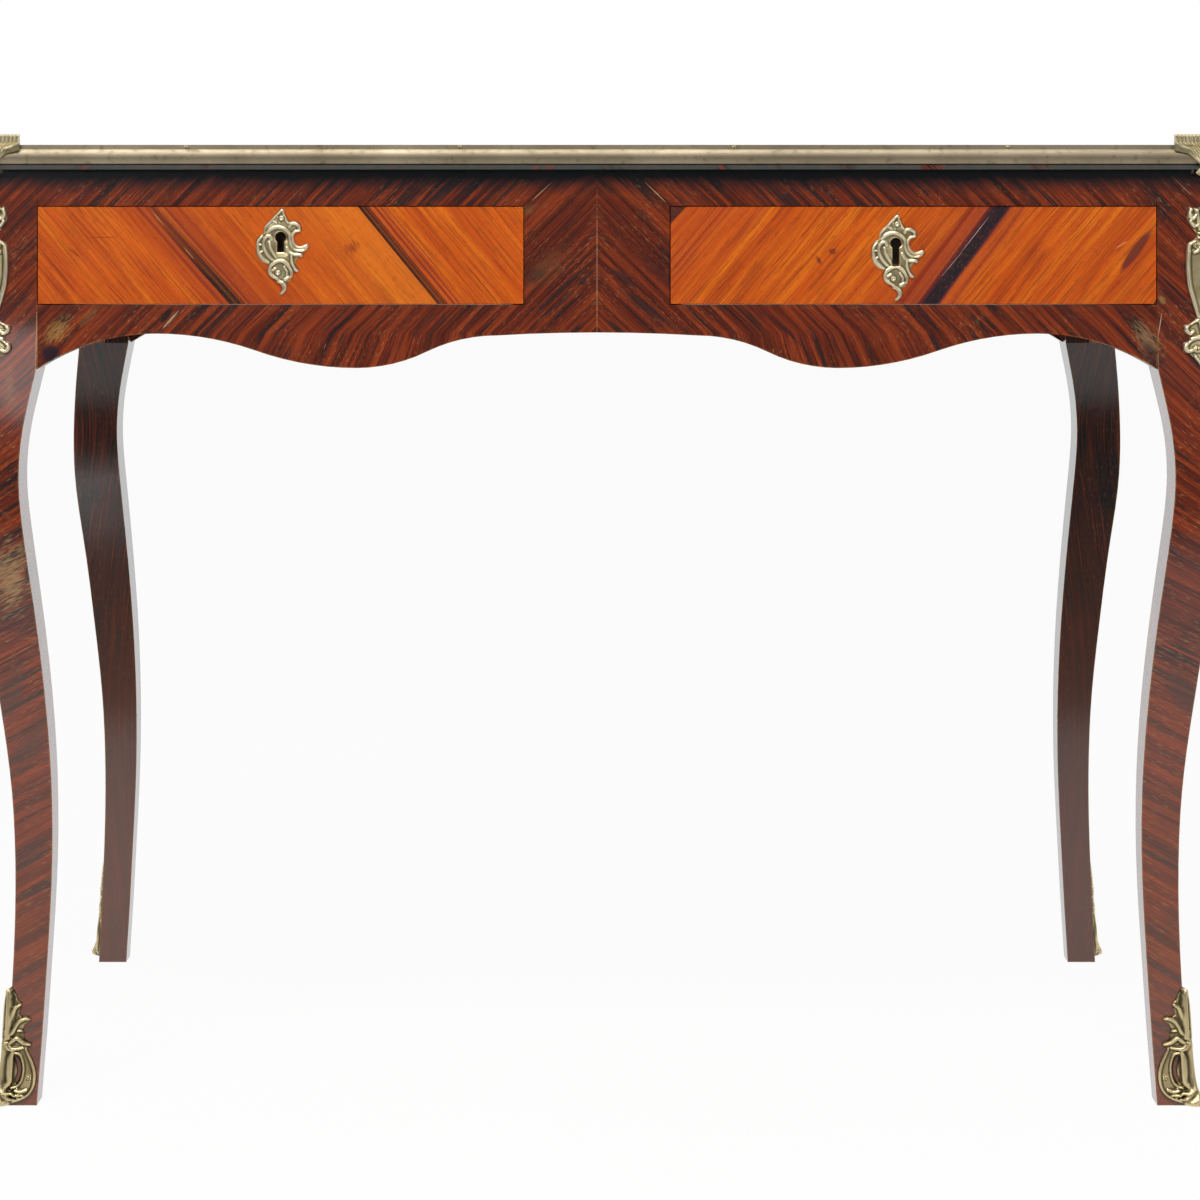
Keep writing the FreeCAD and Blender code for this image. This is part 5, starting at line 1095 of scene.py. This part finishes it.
mountSeats, edgeSeats = [], []
rows = [(x, knee["head"] - z, knee["seatHeight"]) for x, z in knee["pins"]]
rows += [(x - float(legReach(z)), z, sabot["seatHeight"]) for x, z in sabot["pins"]]
for hand in (-1, 1):
    for end in (-1, 1):
        for inset, z, height in rows:
            out = float(legReach(z)) + height - head["mount"]["sunk"]
            onEnd = (hand * (leg["halfWidth"] - inset), end * (leg["halfLength"] + out), z)
            onSide = (hand * (leg["halfWidth"] + out), end * (leg["halfLength"] - inset), z)
            mountSeats += [(onEnd, (0, end, 0)), (onSide, (hand, 0, 0))]
edging = head["edging"]
for end in (-1, 1):
    edgeSeats += [((x, end * edging["out"], edging["level"]), (0, end, 0)) for x in edging["along"]]
    edgeSeats += [((end * edging["side"], y, edging["level"]), (end, 0, 0)) for y in edging["ends"]]
slottedHeads("mount_pin_heads", "mount_pins", mountSeats, head["mount"], "worn_bronze")
slottedHeads("edging_pin_heads", "edge_pins", edgeSeats, edging, "edge_brass")
print("pins")


# room: pale floor, soft light, the photograph's view

room = {
    "eyeHeight": 0.720, "eyeDistance": 2.740, "facePlane": -0.295,
    "viewWidth": 0.95556,          # metres across the picture at the face plane
    "imageSize": 1200, "axisAcross": 597, "axisDown": 207.7,
    "floorSize": 60, "floorGlow": 0.95, "floorColour": "#f7f6f4",
    "floorCloud": 0.5, "cloudRange": (0.5, 0.75), "cloudColour": "#f6efe8",
    "white": "#ffffff", "worldLight": 0.22,
    "frontShine": 0.05,             # what shiny parts mirror on the camera's side, where the room is dim
    "floorFade": (-2.0, -0.9),      # the floor dims between these y
    "worldFade": (-0.35, 0.15),     # and the world between these directions
    "lamps": {   # place, target, size, power
        "topLight": ((-0.4, -2.1, 2.9), (0, -0.3, 0.5), (2.2, 1.2), 78),
        "frontLight": ((-1.5, -3.4, 1.7), (0, -0.2, 0.4), (1.4, 1.4), 17),
        "sideLight": ((1.9, -2.8, 1.5), (0, -0.2, 0.4), (1.2, 1.2), 15)},
}


def seenDirectly(tree):
    # 1 for rays from the camera, a shiny surface or glass, which see the pale studio as white
    rays = addNode(tree, "LightPath").outputs
    seen = addNode(tree, "Math", [rays["Is Camera Ray"], rays["Is Glossy Ray"]], operation="MAXIMUM")
    return rays, addNode(tree, "Math", [seen, rays["Is Transmission Ray"]], operation="MAXIMUM")


def paleFloor():
    # matt white paint, faintly clouded: it takes the table's shadow and shows white to the camera
    size = room["floorSize"]
    mesh = bpy.data.meshes.new("floor")
    square = [(-size, -size, 0), (size, -size, 0), (size, size, 0), (-size, size, 0)]
    mesh.from_pydata(square, [], [(0, 1, 2, 3)])
    floor = bpy.data.objects.new("floor", mesh)
    bpy.context.scene.collection.objects.link(floor)
    material, tree = newMaterial("paintedFloor")
    spot = addNode(tree, "TexCoord").outputs["Object"]
    cloud = addNode(tree, "TexNoise", {"Vector": spot, "Scale": 1 / room["floorCloud"], "Detail": 3.0})
    colour = layOver(tree, room["floorColour"], cloud, *room["cloudRange"], 1, room["cloudColour"])
    matt = addNode(tree, "BsdfDiffuse", [colour])
    depth = addNode(tree, "SeparateXYZ", [spot]).outputs[1]
    shine = addNode(tree, "MapRange", [depth, *room["floorFade"], room["frontShine"], 1.0])
    rays, seen = seenDirectly(tree)
    shine = addNode(tree, "Math", [shine, rays["Is Camera Ray"]], operation="MAXIMUM")
    glow = addNode(tree, "Emission", {"Color": room["white"], "Strength": shine})
    share = addNode(tree, "Math", [seen, room["floorGlow"]], operation="MULTIPLY")
    addNode(tree, "OutputMaterial", [addNode(tree, "MixShader", [share, matt, glow])])
    mesh.materials.append(material)


def whiteRoom():
    # white behind the table, and a dimmer studio on the camera's side for what shines
    world = bpy.data.worlds.new("whiteRoom")
    world.use_nodes = True
    tree = world.node_tree
    tree.nodes.clear()
    rays, seen = seenDirectly(tree)
    direction = addNode(tree, "TexCoord").outputs["Generated"]
    depth = addNode(tree, "SeparateXYZ", [direction]).outputs[1]
    shine = addNode(tree, "MapRange", [depth, *room["worldFade"], room["frontShine"], 1.0])
    glossy = addNode(tree, "Math", [rays["Is Glossy Ray"], shine], operation="MULTIPLY")
    plain = addNode(tree, "Math", [rays["Is Camera Ray"], rays["Is Transmission Ray"]], operation="MAXIMUM")
    bright = addNode(tree, "Math", [glossy, plain], operation="MAXIMUM")
    ambient = addNode(tree, "MapRange", [seen, 0, 1, room["worldLight"], 0.0])
    strength = addNode(tree, "Math", [bright, ambient], operation="ADD")
    addNode(tree, "OutputWorld", [addNode(tree, "Background", [room["white"], strength])])
    bpy.context.scene.world = world


def softbox(name, place, target, size, power):
    lamp = bpy.data.lights.new(name, "AREA")
    lamp.shape = "RECTANGLE"
    lamp.size, lamp.size_y = size
    lamp.energy = power
    body = bpy.data.objects.new(name, lamp)
    body.location = place
    aim = [b - a for a, b in zip(place, target)]
    body.rotation_euler = (math.atan2(math.hypot(aim[0], aim[1]), -aim[2]), 0, math.atan2(-aim[0], aim[1]))
    bpy.context.scene.collection.objects.link(body)


def pictureCamera():
    data = bpy.data.cameras.new("pictureCamera")
    data.sensor_fit = "HORIZONTAL"
    data.lens = data.sensor_width * room["eyeDistance"] / room["viewWidth"]
    middle = room["imageSize"] / 2
    data.shift_x = (middle - room["axisAcross"]) / room["imageSize"]
    data.shift_y = (room["axisDown"] - middle) / room["imageSize"]
    camera = bpy.data.objects.new("pictureCamera", data)
    camera.location = (0, room["facePlane"] - room["eyeDistance"], room["eyeHeight"])
    camera.rotation_euler = (math.pi / 2, 0, 0)
    bpy.context.scene.collection.objects.link(camera)
    bpy.context.scene.camera = camera


paleFloor()
whiteRoom()
for name, (place, target, size, power) in room["lamps"].items():
    softbox(name, place, target, size, power)
pictureCamera()
bpy.context.scene.view_settings.view_transform = "Standard"
print("room")
